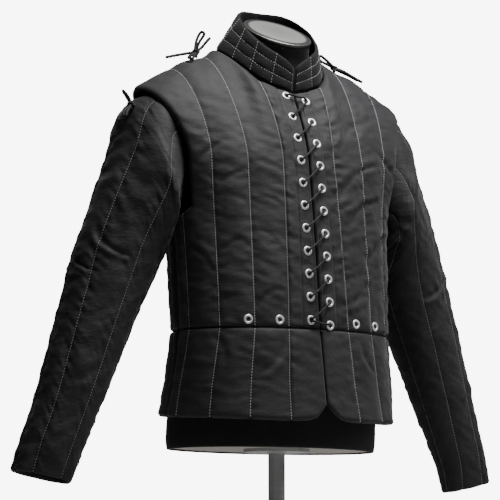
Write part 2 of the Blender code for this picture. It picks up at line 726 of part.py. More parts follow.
def front_lace(rows, group, material):
    """One lace from the top of the left front, down in a spiral, to the bottom of the right front.

    It crosses straight over at the top and at the bottom, and slants down from each left eyelet to
    the next right one; behind the fronts it goes straight across from right to left.
    """
    right, left = rows["right"], rows["left"]
    last = EYELET_COUNT - 1
    runs = [(left[0], LACE_STRAND, right[0], 0.0)]
    for number in range(last):
        lift = -LACE_STRAND if number == 0 else 0.0
        runs.append((left[number], lift, right[number + 1], LACE_STRAND if number + 1 == last else 0.0))
    runs.append((left[last], 0.0, right[last], -LACE_STRAND))
    points = [left[0] @ Vector((0.0, up, LACE_REST)) for up in TOP_TAIL]
    for count, (start, start_lift, end, end_lift) in enumerate(runs):
        raised = count < RAISED_RUNS
        points += lace_end(start, end.translation, start_lift, inwards=False, raised=raised)
        points += lace_end(end, start.translation, end_lift, inwards=True, raised=raised)
        if end is not right[last] or end_lift > 0:
            points += lace_inside(end, end_lift, left, right)
    points += [right[last] @ Vector((0.0, up, LACE_REST)) for up in BOTTOM_TAIL]
    tube("front_lace", points, LACE_RADIUS, LACE_RESOLUTION, material, group)


def lace_inside(end, end_lift, left, right):
    """Points of the run behind the fronts, from a right eyelet to the left one of the same pair."""
    number = right.index(end)
    lift = -LACE_STRAND if number == 0 else 0.0
    start = end.translation + end.col[1].to_3d() * end_lift + end.col[2].to_3d() * LACE_REST
    finish = left[number].translation
    finish = finish + left[number].col[1].to_3d() * lift + left[number].col[2].to_3d() * LACE_REST
    inset = (finish - start).normalized() * INSIDE_INSET
    return [start + inset, finish - inset]


def bows(group, material):
    """Short laces tied in bows on the shoulder seams beside the collar and on the right sleeve head."""
    tied = (("shoulder_bow_right", -1.0, SHOULDER_BOW["right"]),
            ("shoulder_bow_left", 1.0, SHOULDER_BOW["left"]),
            ("sleeve_bow_right", -1.0, SLEEVE_BOW))
    for bow, sign, pieces in tied:
        for piece, size, route in pieces:
            points = [Vector((sign * x, y, rise + FORM_BASE_Z)) for x, y, rise in route]
            if piece == "knot":
                centre, reach = points[0], size + BOW_CLEARANCE
                knot(f"{bow}_{piece}", *points, size, material, group)
            else:
                points[0] = centre + (points[0] - centre).normalized() * reach
                if piece.startswith("loop"):
                    points[-1] = centre + (points[-1] - centre).normalized() * reach
                tube(f"{bow}_{piece}", curved(points, size), LACE_RADIUS, LACE_RESOLUTION,
                     material, group)


def knot(name, centre, foot, radius, material, group):
    """The knot of a bow, on the stem of lace that holds it to the garment."""
    axis = centre - foot
    length = axis.length
    stem = BOW_STEM_RADIUS
    diagonal = radius * KNOT_DIAGONAL
    profile = ((0.0, length + radius), (diagonal, length + diagonal), (radius, length),
               (diagonal, length - diagonal), (stem, length - radius), (stem, 0.0), (0.0, 0.0))
    item = turned(name, profile, KNOT_SIDES, material, group)
    item.matrix_world = Matrix.Translation(foot) @ axis.to_track_quat("Z", "Y").to_matrix().to_4x4()


def curved(points, steps):
    """A smooth curve through a few points, as a list with steps points to each stretch."""
    ends = [points[0] * 2 - points[1], *points, points[-1] * 2 - points[-2]]
    line = []
    for a, b, c, d in zip(ends, ends[1:], ends[2:], ends[3:]):
        for step in range(steps):
            t = step / steps
            line.append(0.5 * (2 * b + (c - a) * t + (2 * a - 5 * b + 4 * c - d) * t**2
                               + (3 * b - 3 * c + d - a) * t**3))
    return [*line, points[-1]]


def form_quarter(grid, back, outside):
    """Points of the form under one half of a panel, from the waist to the neck and shoulder."""
    normals = surface_normals(grid, outside)
    flatten(normals, (slice(None), SIDE_COLUMN), 1)
    flatten(normals, (slice(None), 0), 0)
    flatten(normals, (grid.shape[0] - 1, slice(NECK_COLUMN, ARMHOLE_COLUMN + 1)), 1)
    chest_row = BODICE_ROWS + CHEST_ROWS
    top_row = grid.shape[0] - 1
    points = grid.copy()
    for row in range(grid.shape[0]):
        if row <= chest_row:
            gap = FORM_GAPS[2] + (FORM_GAPS[1] - FORM_GAPS[2]) * row / chest_row
        else:
            share = (row - chest_row) / (top_row - chest_row)
            gap = FORM_GAPS[1] + (FORM_GAPS[0] - FORM_GAPS[1]) * share
        for column in range(grid.shape[1]):
            room = gap if back or row <= chest_row or column > 1 else FORM_GAPS[1]
            points[row, column] -= normals[row, column] * (WALL + room)
    points[:, 0, 0] = 0.0
    points[BODICE_ROWS + 1:, FORM_ARM_COLUMN + 1:] = np.nan
    return points[list(FORM_ROWS)]


def form_ring(half_width, front, rear, centre, rise, angles):
    """Points of an oval ring at given angles from straight ahead, turning to the wearer's left."""
    ring = []
    for angle in angles:
        depth = rear if math.cos(angle) < 0 else front
        ring.append((half_width * math.sin(angle), centre - depth * math.cos(angle), rise))
    return ring


def dress_form(group, material, front, back):
    """Limbless torso form: hips, waist, chest, shoulders and a neck cut off aslant."""
    outside = np.array((0.0, 0.02, 0.35))
    fore = form_quarter(front, False, outside)
    rear = form_quarter(back, True, outside)
    for seam in ((slice(None), SIDE_COLUMN), (-1, slice(NECK_COLUMN, None))):
        shared = (fore[seam] + rear[seam]) / 2
        fore[seam] = shared
        rear[seam] = shared
    mesh = bmesh.new()

    def add(point):
        return mesh.verts.new((point[0], point[1], point[2] + FORM_BASE_Z))

    def quarter(grid, sign):
        return [[None if np.isnan(point[0]) else (sign * point[0], point[1], point[2]) for point in row]
                for row in grid]

    quarters = [quarter(fore, 1.0), quarter(rear, 1.0), quarter(rear, -1.0), quarter(fore, -1.0)]
    grids = [[[None if point is None else add(point) for point in row] for row in grid]
             for grid in quarters]
    for grid in grids:
        for lower, upper in zip(grid, grid[1:]):
            for corners in zip(lower, lower[1:], upper[1:], upper):
                if None not in corners:
                    mesh.faces.new(corners)
    bmesh.ops.remove_doubles(mesh, verts=mesh.verts, dist=0.00005)
    close_ring(mesh, armhole_edges(mesh, 1.0), FORM_ARM_BULGE)
    close_ring(mesh, armhole_edges(mesh, -1.0), -FORM_ARM_BULGE)
    waist_loop = open_loop(mesh, lambda vert: vert.co.z < FORM_BASE_Z + WAIST + 0.01)
    neck_loop = open_loop(mesh, lambda vert: vert.co.z > FORM_BASE_Z + CHEST)
    hips_of_form(mesh, waist_loop)
    neck_of_form(mesh, neck_loop)
    bmesh.ops.recalc_face_normals(mesh, faces=mesh.faces)
    data = bpy.data.meshes.new("dress_form_body")
    mesh.to_mesh(data)
    mesh.free()
    add_object("dress_form_body", data, material, group)


def armhole_edges(mesh, sign):
    """Open edges round the arm side of the form, away from the neck and the waist."""
    found = []
    for edge in mesh.edges:
        middle = (edge.verts[0].co + edge.verts[1].co) / 2
        rise = middle.z - FORM_BASE_Z
        out = sign * middle.x
        beside_neck = rise > 0.60 and out < FRONT_TOP_EDGE[5][1]
        if edge.is_boundary and out > FRONT_TOP_EDGE[4][1] and rise > WAIST + 0.02 and not beside_neck:
            found.append(edge)
    return found


def close_ring(mesh, edges, bulge):
    """Close an opening with a domed end: a smaller ring moved outwards, then its middle."""
    verts = {vert for edge in edges for vert in edge.verts}
    centre = sum((vert.co for vert in verts), Vector()) / len(verts)
    dome = {}
    for vert in verts:
        point = centre + (vert.co - centre) * ARM_DOME + Vector((bulge, 0.0, 0.0))
        dome[vert] = mesh.verts.new(point)
    tip = mesh.verts.new(centre + Vector((bulge * ARM_TIP, 0.0, 0.0)))
    for edge in edges:
        a, b = edge.verts
        mesh.faces.new((a, b, dome[b], dome[a]))
        mesh.faces.new((dome[a], dome[b], tip))


def open_loop(mesh, wanted):
    """The vertices of an open edge loop in order round the body, from the front centre."""
    verts = {vert for edge in mesh.edges if edge.is_boundary for vert in edge.verts if wanted(vert)}
    middle = sum((vert.co.y for vert in verts)) / len(verts)
    return sorted(verts, key=lambda vert: math.atan2(vert.co.x, middle - vert.co.y) % (2 * math.pi))


def bridge(mesh, lower, upper):
    for index in range(len(lower)):
        onward = (index + 1) % len(lower)
        mesh.faces.new((lower[index], lower[onward], upper[onward], upper[index]))


def hips_of_form(mesh, waist_loop):
    """Rings from the waist down to the base, then a rim and the recess for the base board."""
    middle = sum(vert.co.y for vert in waist_loop) / len(waist_loop)
    angles = [math.atan2(vert.co.x / HIP_RING_ASPECT, middle - vert.co.y) for vert in waist_loop]
    ring = waist_loop
    for rise, half_width, front, rear, centre in reversed(FORM_HIPS):
        points = form_ring(half_width, front, rear, centre, rise, angles)
        following = [mesh.verts.new((x, y, z + FORM_BASE_Z)) for x, y, z in points]
        bridge(mesh, ring, following)
        ring = following
    for depth in (0.0, BOARD_RECESS):
        points = form_ring(*base_oval(BOARD_RIM), depth, angles)
        following = [mesh.verts.new((x, y, z + FORM_BASE_Z)) for x, y, z in points]
        bridge(mesh, ring, following)
        ring = following
    mesh.faces.new(ring)


def base_oval(inset):
    """Half width, front and rear depth and centre of the form's base, drawn in by an inset."""
    _, half_width, front, rear, centre = FORM_HIPS[0]
    return half_width - inset, front - inset, rear - inset, centre


def neck_of_form(mesh, neck_loop):
    """Rings from the neckline up to the slanting cut under the neck cap."""
    middle = sum(vert.co.y for vert in neck_loop) / len(neck_loop)
    angles = [math.atan2(vert.co.x, middle - vert.co.y) for vert in neck_loop]
    ring = neck_loop
    for centre, rise, half_width, half_depth, tilt in FORM_NECK:
        points = form_ring(half_width, half_depth, half_depth, 0.0, 0.0, angles)
        place = Matrix.Translation((0.0, centre, rise + FORM_BASE_Z))
        turn = place @ Matrix.Rotation(math.radians(tilt), 4, "X")
        following = [mesh.verts.new(turn @ Vector(point)) for point in points]
        bridge(mesh, ring, following)
        ring = following
    mesh.faces.new(ring)


def neck_cap(group, metal):
    """Plain metal cap on the neck: a turned disc with a low crown, oval like the neck."""
    centre, rise, half_width, half_depth, tilt = FORM_NECK[-1]
    flat, level = NECK_CAP_FLAT
    rim, fall = NECK_CAP_RIM
    profile = ((0.0, NECK_CAP_EDGE + NECK_CAP_CROWN), (flat, NECK_CAP_EDGE + NECK_CAP_CROWN * level),
               (rim, NECK_CAP_EDGE), (1.0, NECK_CAP_EDGE - fall), (1.0, 0.0), (0.0, 0.0))
    item = turned("neck_cap", profile, NECK_CAP_SIDES, metal, group)
    place = Matrix.Translation((0.0, centre, rise + FORM_BASE_Z))
    lift = Matrix.Translation((0.0, 0.0, SEAM_GAP))
    oval = Matrix.Diagonal((half_width, half_depth, 1.0, 1.0))
    item.matrix_world = place @ Matrix.Rotation(math.radians(tilt), 4, "X") @ lift @ oval


def stand(group, steel, wood):
    """Base board let into the form, a flanged steel pole under it and a round base plate."""
    angles = [2 * math.pi * step / BOARD_SIDES for step in range(BOARD_SIDES)]
    outline = bpy.data.curves.new("base_board", "CURVE")
    outline.dimensions = "2D"
    outline.fill_mode = "BOTH"
    outline.extrude = BOARD_THICKNESS / 2
    spline = outline.splines.new("POLY")
    spline.points.add(BOARD_SIDES - 1)
    for point, place in zip(spline.points, form_ring(*base_oval(BOARD_RIM + SEAM_GAP), 0.0, angles)):
        point.co = (*place, 1.0)
    spline.use_cyclic_u = True
    outline.materials.append(wood)
    board = bpy.data.objects.new("base_board", outline)
    board.location.z = FORM_BASE_Z + BOARD_RECESS - SEAM_GAP - BOARD_THICKNESS / 2
    group.objects.link(board)

    top = FORM_BASE_Z + BOARD_RECESS - 2 * SEAM_GAP - BOARD_THICKNESS
    foot = BASE_PLATE_THICKNESS + SEAM_GAP
    profile = ((0.0, top), (FLANGE_RADIUS, top), (FLANGE_RADIUS, top - FLANGE_THICKNESS),
               (POLE_RADIUS, top - FLANGE_THICKNESS - FLANGE_FALL), (POLE_RADIUS, foot + BOSS_HEIGHT),
               (BOSS_RADIUS, foot + BOSS_HEIGHT - BOSS_FALL), (BOSS_RADIUS, foot), (0.0, foot))
    turned("stand_pole", profile, POLE_SIDES, steel, group)
    profile = ((0.0, BASE_PLATE_THICKNESS), (BASE_PLATE_RADIUS - BASE_PLATE_EDGE, BASE_PLATE_THICKNESS),
               (BASE_PLATE_RADIUS, BASE_PLATE_THICKNESS - BASE_PLATE_EDGE), (BASE_PLATE_RADIUS, 0.0),
               (0.0, 0.0))
    turned("stand_base_plate", profile, BASE_PLATE_SIDES, steel, group)


def main():
    clear_scene()
    group = new_collection(FORM_COLLECTION)
    cloth = principled("charcoal_quilted_cotton", (0.055, 0.055, 0.058), 0.85)
    sleeve_cloth = principled("black_quilted_cotton", (0.022, 0.022, 0.024), 0.85)
    collar_cloth = principled("black_napped_cotton", (0.018, 0.018, 0.020), 0.9)
    panels, front, back = bodice_panels(group, cloth)
    skirt_panels(group, cloth)
    sleeves(group, sleeve_cloth)
    collar(group, collar_cloth, front, back)
    cutters = new_collection("cutters")
    metal = principled("nickel_plated_brass", (0.72, 0.72, 0.70), 0.3, 1.0)
    cord = principled("black_braided_cord", (0.015, 0.015, 0.016), 0.7)
    rows = eyelets(panels, group, cutters, metal)
    front_lace(rows, group, cord)
    bows(group, cord)
    jersey = principled("black_cotton_jersey", (0.008, 0.008, 0.008), 0.9)
    brushed = principled("brushed_aluminium", (0.70, 0.70, 0.68), 0.35, 1.0)
    steel = principled("satin_steel", (0.45, 0.45, 0.46), 0.4, 1.0)
    wood = principled("pale_plywood", (0.62, 0.50, 0.34), 0.6)
    dress_form(group, jersey, front, back)
    neck_cap(group, brushed)
    stand(group, steel, wood)


main()
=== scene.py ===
import math

import bmesh
import bpy
import numpy as np
from mathutils import Matrix, Vector, kdtree, noise


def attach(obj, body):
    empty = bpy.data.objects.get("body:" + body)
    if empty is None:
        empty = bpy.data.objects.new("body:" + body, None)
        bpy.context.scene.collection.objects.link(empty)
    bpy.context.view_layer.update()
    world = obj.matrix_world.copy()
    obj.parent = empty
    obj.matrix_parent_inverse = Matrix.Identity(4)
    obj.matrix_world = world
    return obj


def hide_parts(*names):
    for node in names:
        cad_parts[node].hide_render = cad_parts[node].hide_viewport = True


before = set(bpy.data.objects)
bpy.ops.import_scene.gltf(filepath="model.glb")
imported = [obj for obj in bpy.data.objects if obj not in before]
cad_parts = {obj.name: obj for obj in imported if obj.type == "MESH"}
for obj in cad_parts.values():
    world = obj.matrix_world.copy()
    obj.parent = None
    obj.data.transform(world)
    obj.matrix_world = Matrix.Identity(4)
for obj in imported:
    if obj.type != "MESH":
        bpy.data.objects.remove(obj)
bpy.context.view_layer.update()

# Camera: the photograph is taken from a little below the hem's height, from the wearer's right front,
# and from far off with a long lens, so that the foot of the stand lies below the picture.
AWAY, EYE_HEIGHT, ROUND_TO = 4.552, 0.164, math.radians(32.0)
TILT, PAN = math.radians(7.128), math.radians(31.45)
eye = bpy.data.cameras.new("photo_camera")
eye.lens = 198.63
eye.sensor_width = 36.0
camera = bpy.data.objects.new("photo_camera", eye)
camera.location = (-math.sin(ROUND_TO) * AWAY, -math.cos(ROUND_TO) * AWAY, EYE_HEIGHT)
camera.rotation_euler = (math.pi / 2 + TILT, 0.0, -PAN)
bpy.context.scene.collection.objects.link(camera)
bpy.context.scene.camera = camera

# Studio: white to the camera and dim grey to the object, with one soft box above and weak cards behind
# and beside. The floor is a disc of grey paper.
world = bpy.data.worlds.new("studio")
bpy.context.scene.world = world
world.use_nodes = True
links, nodes = world.node_tree.links, world.node_tree.nodes
nodes.clear()
out = nodes.new("ShaderNodeOutputWorld")
mix = nodes.new("ShaderNodeMixShader")
seen = nodes.new("ShaderNodeLightPath")
dim = nodes.new("ShaderNodeBackground")
white = nodes.new("ShaderNodeBackground")
for background, strength in ((dim, 0.05), (white, 8.0)):
    background.inputs["Color"].default_value = (1.0, 1.0, 1.0, 1.0)
    background.inputs["Strength"].default_value = strength
links.new(seen.outputs["Is Camera Ray"], mix.inputs[0])
links.new(dim.outputs[0], mix.inputs[1])
links.new(white.outputs[0], mix.inputs[2])
links.new(mix.outputs[0], out.inputs["Surface"])
for name, place, aim, size, watts in (
        ("soft_box", (0.10, -0.55, 2.05), (0.0, 0.0, 0.95), 0.7, 46.0),
        ("back_card", (0.9, 2.3, 1.7), (0.0, 0.0, 0.75), 1.4, 26.0),
        ("side_card", (1.9, -1.05, 1.45), (0.1, 0.0, 0.75), 0.9, 9.5)):
    lamp = bpy.data.lights.new(name, "AREA")
    lamp.size = size
    lamp.energy = watts
    item = bpy.data.objects.new(name, lamp)
    item.location = place
    item.rotation_euler = (Vector(aim) - Vector(place)).to_track_quat("-Z", "Y").to_euler()
    item.visible_camera = False
    bpy.context.scene.collection.objects.link(item)
bpy.ops.object.select_all(action="DESELECT")
bpy.ops.mesh.primitive_circle_add(vertices=64, radius=2.5, fill_type="NGON", location=(0.0, 0.0, -0.0005))
floor = bpy.context.object
floor.name = "studio_floor"


def new_material(name, sockets):
    """A material with constant values on its shader's own sockets."""
    material = bpy.data.materials.new(name)
    material.use_nodes = True
    for socket, value in sockets.items():
        material.node_tree.nodes["Principled BSDF"].inputs[socket].default_value = value
    return material


paper = new_material("studio_paper", {"Base Color": (0.62, 0.62, 0.62, 1.0), "Roughness": 0.9})
floor.data.materials.append(paper)

# Bows: short lengths of round black braided lace tied beside the collar and on the right sleeve head,
# 5 mm across where nothing pulls them tight. Each loop and tail is one length from its knot.
BASE = 0.400          # height of the underside of the dress form; rises are measured from it
BOW_LACE, KNOT_LACE = 0.0050, 0.0042
SUNK = 0.0004         # how deep an end goes into its knot


def link(item):
    """Puts a new object in the scene."""
    bpy.context.scene.collection.objects.link(item)
    return item


def finished(item, slot, *replaced):
    """Rides on the row's one body and stands for the CAD nodes named."""
    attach(item, "root")
    if replaced:
        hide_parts(*replaced)


def added(tree, kind, sockets=None, feeds=None, **settings):
    """A node with its settings, constant values on its sockets and what feeds the others."""
    node = tree.nodes.new(kind)
    for setting, value in settings.items():
        setattr(node, setting, value)
    for socket, value in (sockets or {}).items():
        node.inputs[socket].default_value = value
    for socket, output in (feeds or {}).items():
        tree.links.new(output, node.inputs[socket])
    return node


lace = new_material("black_braided_lace", {"Roughness": 0.62, "Sheen Weight": 0.05,
                                           "Specular IOR Level": 0.3})
tree, shader = lace.node_tree, lace.node_tree.nodes["Principled BSDF"]
at = added(tree, "ShaderNodeTexCoord").outputs["Object"]
strands = []
for slant in (0.7, -0.7):
    turned = added(tree, "ShaderNodeMapping", {"Rotation": (0.0, slant, 0.6)}, {"Vector": at})
    strands.append(added(tree, "ShaderNodeTexWave", {"Scale": 190.0, "Distortion": 0.6},
                         {"Vector": turned.outputs[0]}))
cross = added(tree, "ShaderNodeMath", None, {0: strands[0].outputs["Fac"], 1: strands[1].outputs["Fac"]},
              operation="MULTIPLY")
bump = added(tree, "ShaderNodeBump", {"Strength": 0.5, "Distance": 0.0006}, {"Height": cross.outputs[0]})
ramp = added(tree, "ShaderNodeValToRGB", None, {"Fac": cross.outputs[0]})
ramp.color_ramp.elements[0].color = (0.0016, 0.0016, 0.0016, 1.0)
ramp.color_ramp.elements[1].color = (0.00512, 0.00512, 0.00528, 1.0)
tree.links.new(bump.outputs[0], shader.inputs["Normal"])
tree.links.new(ramp.outputs["Color"], shader.inputs["Base Color"])


def lace_curve(name, points, radius):
    """A round lace through the points, closed at both ends."""
    curve = bpy.data.curves.new(name, "CURVE")
    curve.dimensions = "3D"
    curve.bevel_depth = radius
    curve.bevel_resolution = 4
    curve.use_fill_caps = True
    spline = curve.splines.new("POLY")
    spline.points.add(len(points) - 1)
    for number, point in enumerate(points):
        spline.points[number].co = (*point, 1.0)
    spline.use_smooth = True
    curve.materials.append(lace)
    return link(bpy.data.objects.new(name, curve))


def curved(points, steps):
    """A smooth curve through a few points, with steps points to each stretch."""
    ends = [points[0] * 2 - points[1], *points, points[-1] * 2 - points[-2]]
    line = []
    for a, b, c, d in zip(ends, ends[1:], ends[2:], ends[3:]):
        for step in range(steps):
            t = step / steps
            line.append(0.5 * (2 * b + (c - a) * t + (2 * a - 5 * b + 4 * c - d) * t**2
                               + (3 * b - 3 * c + d - a) * t**3))
    return [*line, points[-1]]


# Knot centre, its place on the cloth and radius, then each piece: length and route, x outwards, y, rise
for bow, sign, centre, foot, radius, routes in (
        ("shoulder_bow_right", -1.0, (0.137, 0.032, 0.6585), (0.1365, 0.031, 0.6492), 0.0042, (
            ("loop_up", 0.075, ((0.1365, 0.0315, 0.6645), (0.131, 0.030, 0.677), (0.1235, 0.028, 0.690),
                                (0.1265, 0.034, 0.694), (0.1335, 0.036, 0.680), (0.1395, 0.0345, 0.6643))),
            ("loop_down", 0.069, ((0.141, 0.028, 0.6545), (0.148, 0.018, 0.650), (0.157, 0.009, 0.6425),
                                  (0.160, 0.016, 0.6445), (0.152, 0.026, 0.650), (0.1425, 0.0325, 0.6545))),
            ("tail_up", 0.036, ((0.1325, 0.034, 0.662), (0.124, 0.035, 0.669), (0.117, 0.033, 0.678),
                                (0.110, 0.031, 0.686))),
            ("tail_side", 0.055, ((0.143, 0.034, 0.6585), (0.158, 0.037, 0.6545), (0.175, 0.036, 0.650),
                                  (0.193, 0.034, 0.645))))),
        ("shoulder_bow_left", 1.0, (0.137, 0.032, 0.6585), (0.1365, 0.031, 0.6492), 0.0042, (
            ("loop_up", 0.061, ((0.1345, 0.0335, 0.6643), (0.126, 0.036, 0.671), (0.1155, 0.038, 0.679),
                                (0.1135, 0.033, 0.677), (0.122, 0.030, 0.670), (0.1315, 0.0285, 0.6635))),
            ("loop_down", 0.087, ((0.1415, 0.028, 0.6555), (0.153, 0.020, 0.651), (0.167, 0.011, 0.640),
                                  (0.173, 0.015, 0.639), (0.163, 0.022, 0.646), (0.1435, 0.031, 0.6555))),
            ("tail_up", 0.0365, ((0.137, 0.0365, 0.6625), (0.131, 0.044, 0.667), (0.122, 0.052, 0.674),
                                (0.115, 0.053, 0.681))),
            ("tail_side", 0.058, ((0.142, 0.0355, 0.6605), (0.157, 0.036, 0.657), (0.175, 0.034, 0.649),
                                  (0.194, 0.031, 0.640))))),
        ("sleeve_bow_right", -1.0, (0.2725, 0.008, 0.5535), (0.2652, 0.0110, 0.5482), 0.0045, (
            ("loop_up", 0.052, ((0.2735, 0.0075, 0.5600), (0.279, 0.0075, 0.567), (0.286, 0.008, 0.5745),
                                (0.2845, 0.0135, 0.576), (0.278, 0.0145, 0.568), (0.2735, 0.0125, 0.5600))),
            ("loop_down", 0.0565, ((0.2775, 0.004, 0.5500), (0.284, -0.001, 0.543), (0.2895, -0.004, 0.533),
                                  (0.2905, 0.001, 0.534), (0.2855, 0.006, 0.543),
                                  (0.2785, 0.009, 0.5500)))))):
    middle = Vector((sign * centre[0], centre[1], centre[2] + BASE))
    for part, length, route in routes:
        points = [Vector((sign * x, y, rise + BASE)) for x, y, rise in route]
        for end in (0, -1) if part.startswith("loop") else (0,):
            points[end] = middle + (points[end] - middle).normalized() * (radius - SUNK)
        line = curved(points, 6)
        item = lace_curve(f"{bow}_{part}_lace", line, BOW_LACE / 2)
        finished(item, "black_lace", f"{bow}_{part}")
    start = Vector((sign * foot[0], foot[1], foot[2] + BASE))
    wound = [middle + Vector((math.sin(t) + 2 * math.sin(2 * t), -math.sin(3 * t),
                              math.cos(t) - 2 * math.cos(2 * t))) * radius * 0.42
             for t in np.linspace(0.4, 2 * math.pi, 60)]
    item = lace_curve(f"{bow}_knot_lace", [start, start.lerp(middle, 0.35), *wound], KNOT_LACE / 2)
    finished(item, "black_lace", f"{bow}_knot")


# Quilted cotton: black twill over wadding, stitched in channels 58 mm apart. The wall is built from
# points, because its crowns, puckers and seams can't come from a primitive; the panels' cut follows.
def smooth_rows(table, position):
    """A table's row at any position between its first-column keys, on a smooth curve."""
    rows = np.asarray(table, dtype=float)
    keys = rows[:, 0]
    slopes = np.gradient(rows[:, 1:], keys, axis=0)
    position = min(max(position, keys[0]), keys[-1])
    index = min(int(np.searchsorted(keys, position, side="right")) - 1, len(keys) - 2)
    span = keys[index + 1] - keys[index]
    return hermite(rows[index, 1:], slopes[index] * span, rows[index + 1, 1:], slopes[index + 1] * span,
                   (position - keys[index]) / span)


def hermite(start, start_pull, end, end_pull, t):
    """A point on the curve that leaves start and reaches end with the pulls given."""
    return (start * (2 * t**3 - 3 * t**2 + 1) + start_pull * (t**3 - 2 * t**2 + t)
            + end * (3 * t**2 - 2 * t**3) + end_pull * (t**3 - t**2))


def normals_of(grid, outside, closed=False):
    """Unit normals of a grid of points, away from the point outside or each row's own middle."""
    ways = []
    for axis in (0, 1):
        ahead, behind = np.roll(grid, -1, axis), np.roll(grid, 1, axis)
        if axis == 0 or not closed:
            last = [slice(None)] * 3
            last[axis] = -1
            first = [slice(None)] * 3
            first[axis] = 0
            ahead[tuple(last)] = grid[tuple(last)]
            behind[tuple(first)] = grid[tuple(first)]
        ahead = np.where(np.isnan(ahead), grid, ahead)
        behind = np.where(np.isnan(behind), grid, behind)
        ways.append(ahead - behind)
    normals = np.cross(ways[0], ways[1])
    normals /= np.maximum(np.linalg.norm(normals, axis=-1, keepdims=True), 1e-12)
    wrong = np.einsum("ijk,ijk->ij", normals, grid - outside) < 0
    normals[wrong] *= -1
    return normals


def flatten(normals, index, axis):
    """Turns the normals along a seam into its plane, so that both walls end in it."""
    edge = normals[index]
    edge[..., axis] = 0.0
    edge /= np.linalg.norm(edge, axis=-1, keepdims=True)
    normals[index] = edge


def edge_distance(grid, edges):
    """Distance of each point from the nearest of the edge points, up to 20 mm."""
    tree = kdtree.KDTree(len(edges))
    for number, point in enumerate(edges):
        tree.insert(point, number)
    tree.balance()
    far = np.full(grid.shape[:2], 0.02)
    for row, column in zip(*np.nonzero(~np.isnan(grid[:, :, 0]))):
        far[row, column] = min(tree.find(grid[row, column])[2], 0.02)
    return far


def crumple(grid, scale, seed, lean=0.0):
    """Smooth noise from -1 to 1 over a grid, longer along one way; lean slants it."""
    field = np.zeros(grid.shape[:2])
    for row, column in zip(*np.nonzero(~np.isnan(grid[:, :, 0]))):
        x, y, z = grid[row, column]
        z = z + lean * x
        field[row, column] = noise.noise(Vector((x / scale[0], y / scale[0], z / scale[1] + seed)))
    return field


def creases(columns, rows, table, unit):
    """Depth in metres of the listed folds: each runs between two places on the panel."""
    depth = np.zeros((len(rows), len(columns)))
    u, v = np.meshgrid(np.asarray(columns) * unit[0], np.asarray(rows) * unit[1])
    for (c0, r0), (c1, r1), width, fold in table:
        start = np.array((c0 * unit[0], r0 * unit[1]))
        way = np.array((c1 * unit[0], r1 * unit[1])) - start
        length = np.hypot(*way)
        way /= length
        along = ((u - start[0]) * way[0] + (v - start[1]) * way[1]) / length
        bow = 0.12 * length * np.sin(np.clip(along, 0, 1) * math.pi)
        beside = (u - start[0]) * -way[1] + (v - start[1]) * way[0] - bow
        fade = np.clip(np.sin(np.clip(along, 0.0, 1.0) * math.pi), 0.0, 1.0) ** 0.5
        ridge = 0.55 * np.exp(-((beside - 1.9 * width) / (1.3 * width)) ** 2)
        depth += fold * fade * (np.exp(-(beside / width) ** 2) - ridge)
    return depth


def wall_item(name, outer, inner, columns_at, along, material, closed=False):
    """A closed cloth wall between two like grids, with a map in metres round and along the panel."""
    kept = ~np.isnan(outer[:, :, 0])
    rows, columns = kept.shape
    number = np.full((2, rows, columns), -1)
    number[0][kept] = np.arange(kept.sum())
    number[1][kept] = np.arange(kept.sum()) + kept.sum()
    points = np.concatenate((outer[kept], inner[kept]))
    points[:, 2] += BASE
    across = columns if closed else columns - 1
    faces, edges = [], {}
    for row in range(rows - 1):
        for column in range(across):
            onward = (column + 1) % columns
            corners = ((row, column), (row, onward), (row + 1, onward), (row + 1, column))
            if any(number[0][corner] < 0 for corner in corners):
                continue
            faces.append([number[0][corner] for corner in corners])
            faces.append([number[1][corner] for corner in reversed(corners)])
            for pair in zip(corners, corners[1:] + corners[:1]):
                if pair[::-1] in edges:
                    del edges[pair[::-1]]
                else:
                    edges[pair] = True
    for start, end in edges:
        faces.append([number[0][end], number[0][start], number[1][start], number[1][end]])
    data = bpy.data.meshes.new(name)
    data.from_pydata(points.tolist(), [], [[int(i) for i in face] for face in faces])
    spread = np.zeros((len(points), 2))
    flat = np.stack((np.broadcast_to(columns_at, kept.shape)[kept], along[kept]), axis=1)
    spread[:len(flat)], spread[len(flat):] = flat, flat
    uv = data.uv_layers.new(name="cloth_metres")
    index = np.empty(len(data.loops), dtype=np.int32)
    data.loops.foreach_get("vertex_index", index)
    uv.data.foreach_set("uv", spread[index].ravel())
    data.polygons.foreach_set("use_smooth", np.ones(len(data.polygons), dtype=bool))
    data.materials.append(material)
    fixed = bmesh.new()
    fixed.from_mesh(data)
    bmesh.ops.recalc_face_normals(fixed, faces=fixed.faces)
    fixed.to_mesh(data)
    fixed.free()
    return link(bpy.data.objects.new(name, data))


def lengths_along(grid):
    """Length along each column from the panel's first row."""
    steps = np.linalg.norm(np.diff(grid, axis=0), axis=-1)
    steps = np.where(np.isnan(steps), 0.0, steps)
    return np.concatenate((np.zeros((1, grid.shape[1])), np.cumsum(steps, axis=0)))


def rounded(far, reach, drop):
    """How far the cloth falls where it turns over a finished edge, from the distance to the edge."""
    near_edge = np.minimum(np.clip(1 - far / reach, 0.0, 1.0), 0.999)
    return (1 - np.sqrt(1 - near_edge ** 2)) * drop


def puckers(along, columns, near, seed, fade, pitch):
    """Small gathers beside each quilting line, where the thread draws the cloth up; from -1 to 1."""
    drawn = np.zeros(along.shape)
    for column, place in enumerate(columns):
        line = round(place / 3) % 7
        flank = 0 if place % 3 > 1.5 else 1
        reach = math.exp(-near[column] / fade) * min(near[column] / 0.003, 1.0)
        for row in range(len(along)):
            here = Vector((along[row, column] / pitch, line * 7.3 + flank * 3.1 + seed, near[column] / 0.02))
            drawn[row, column] = noise.noise(here) * reach
    return drawn


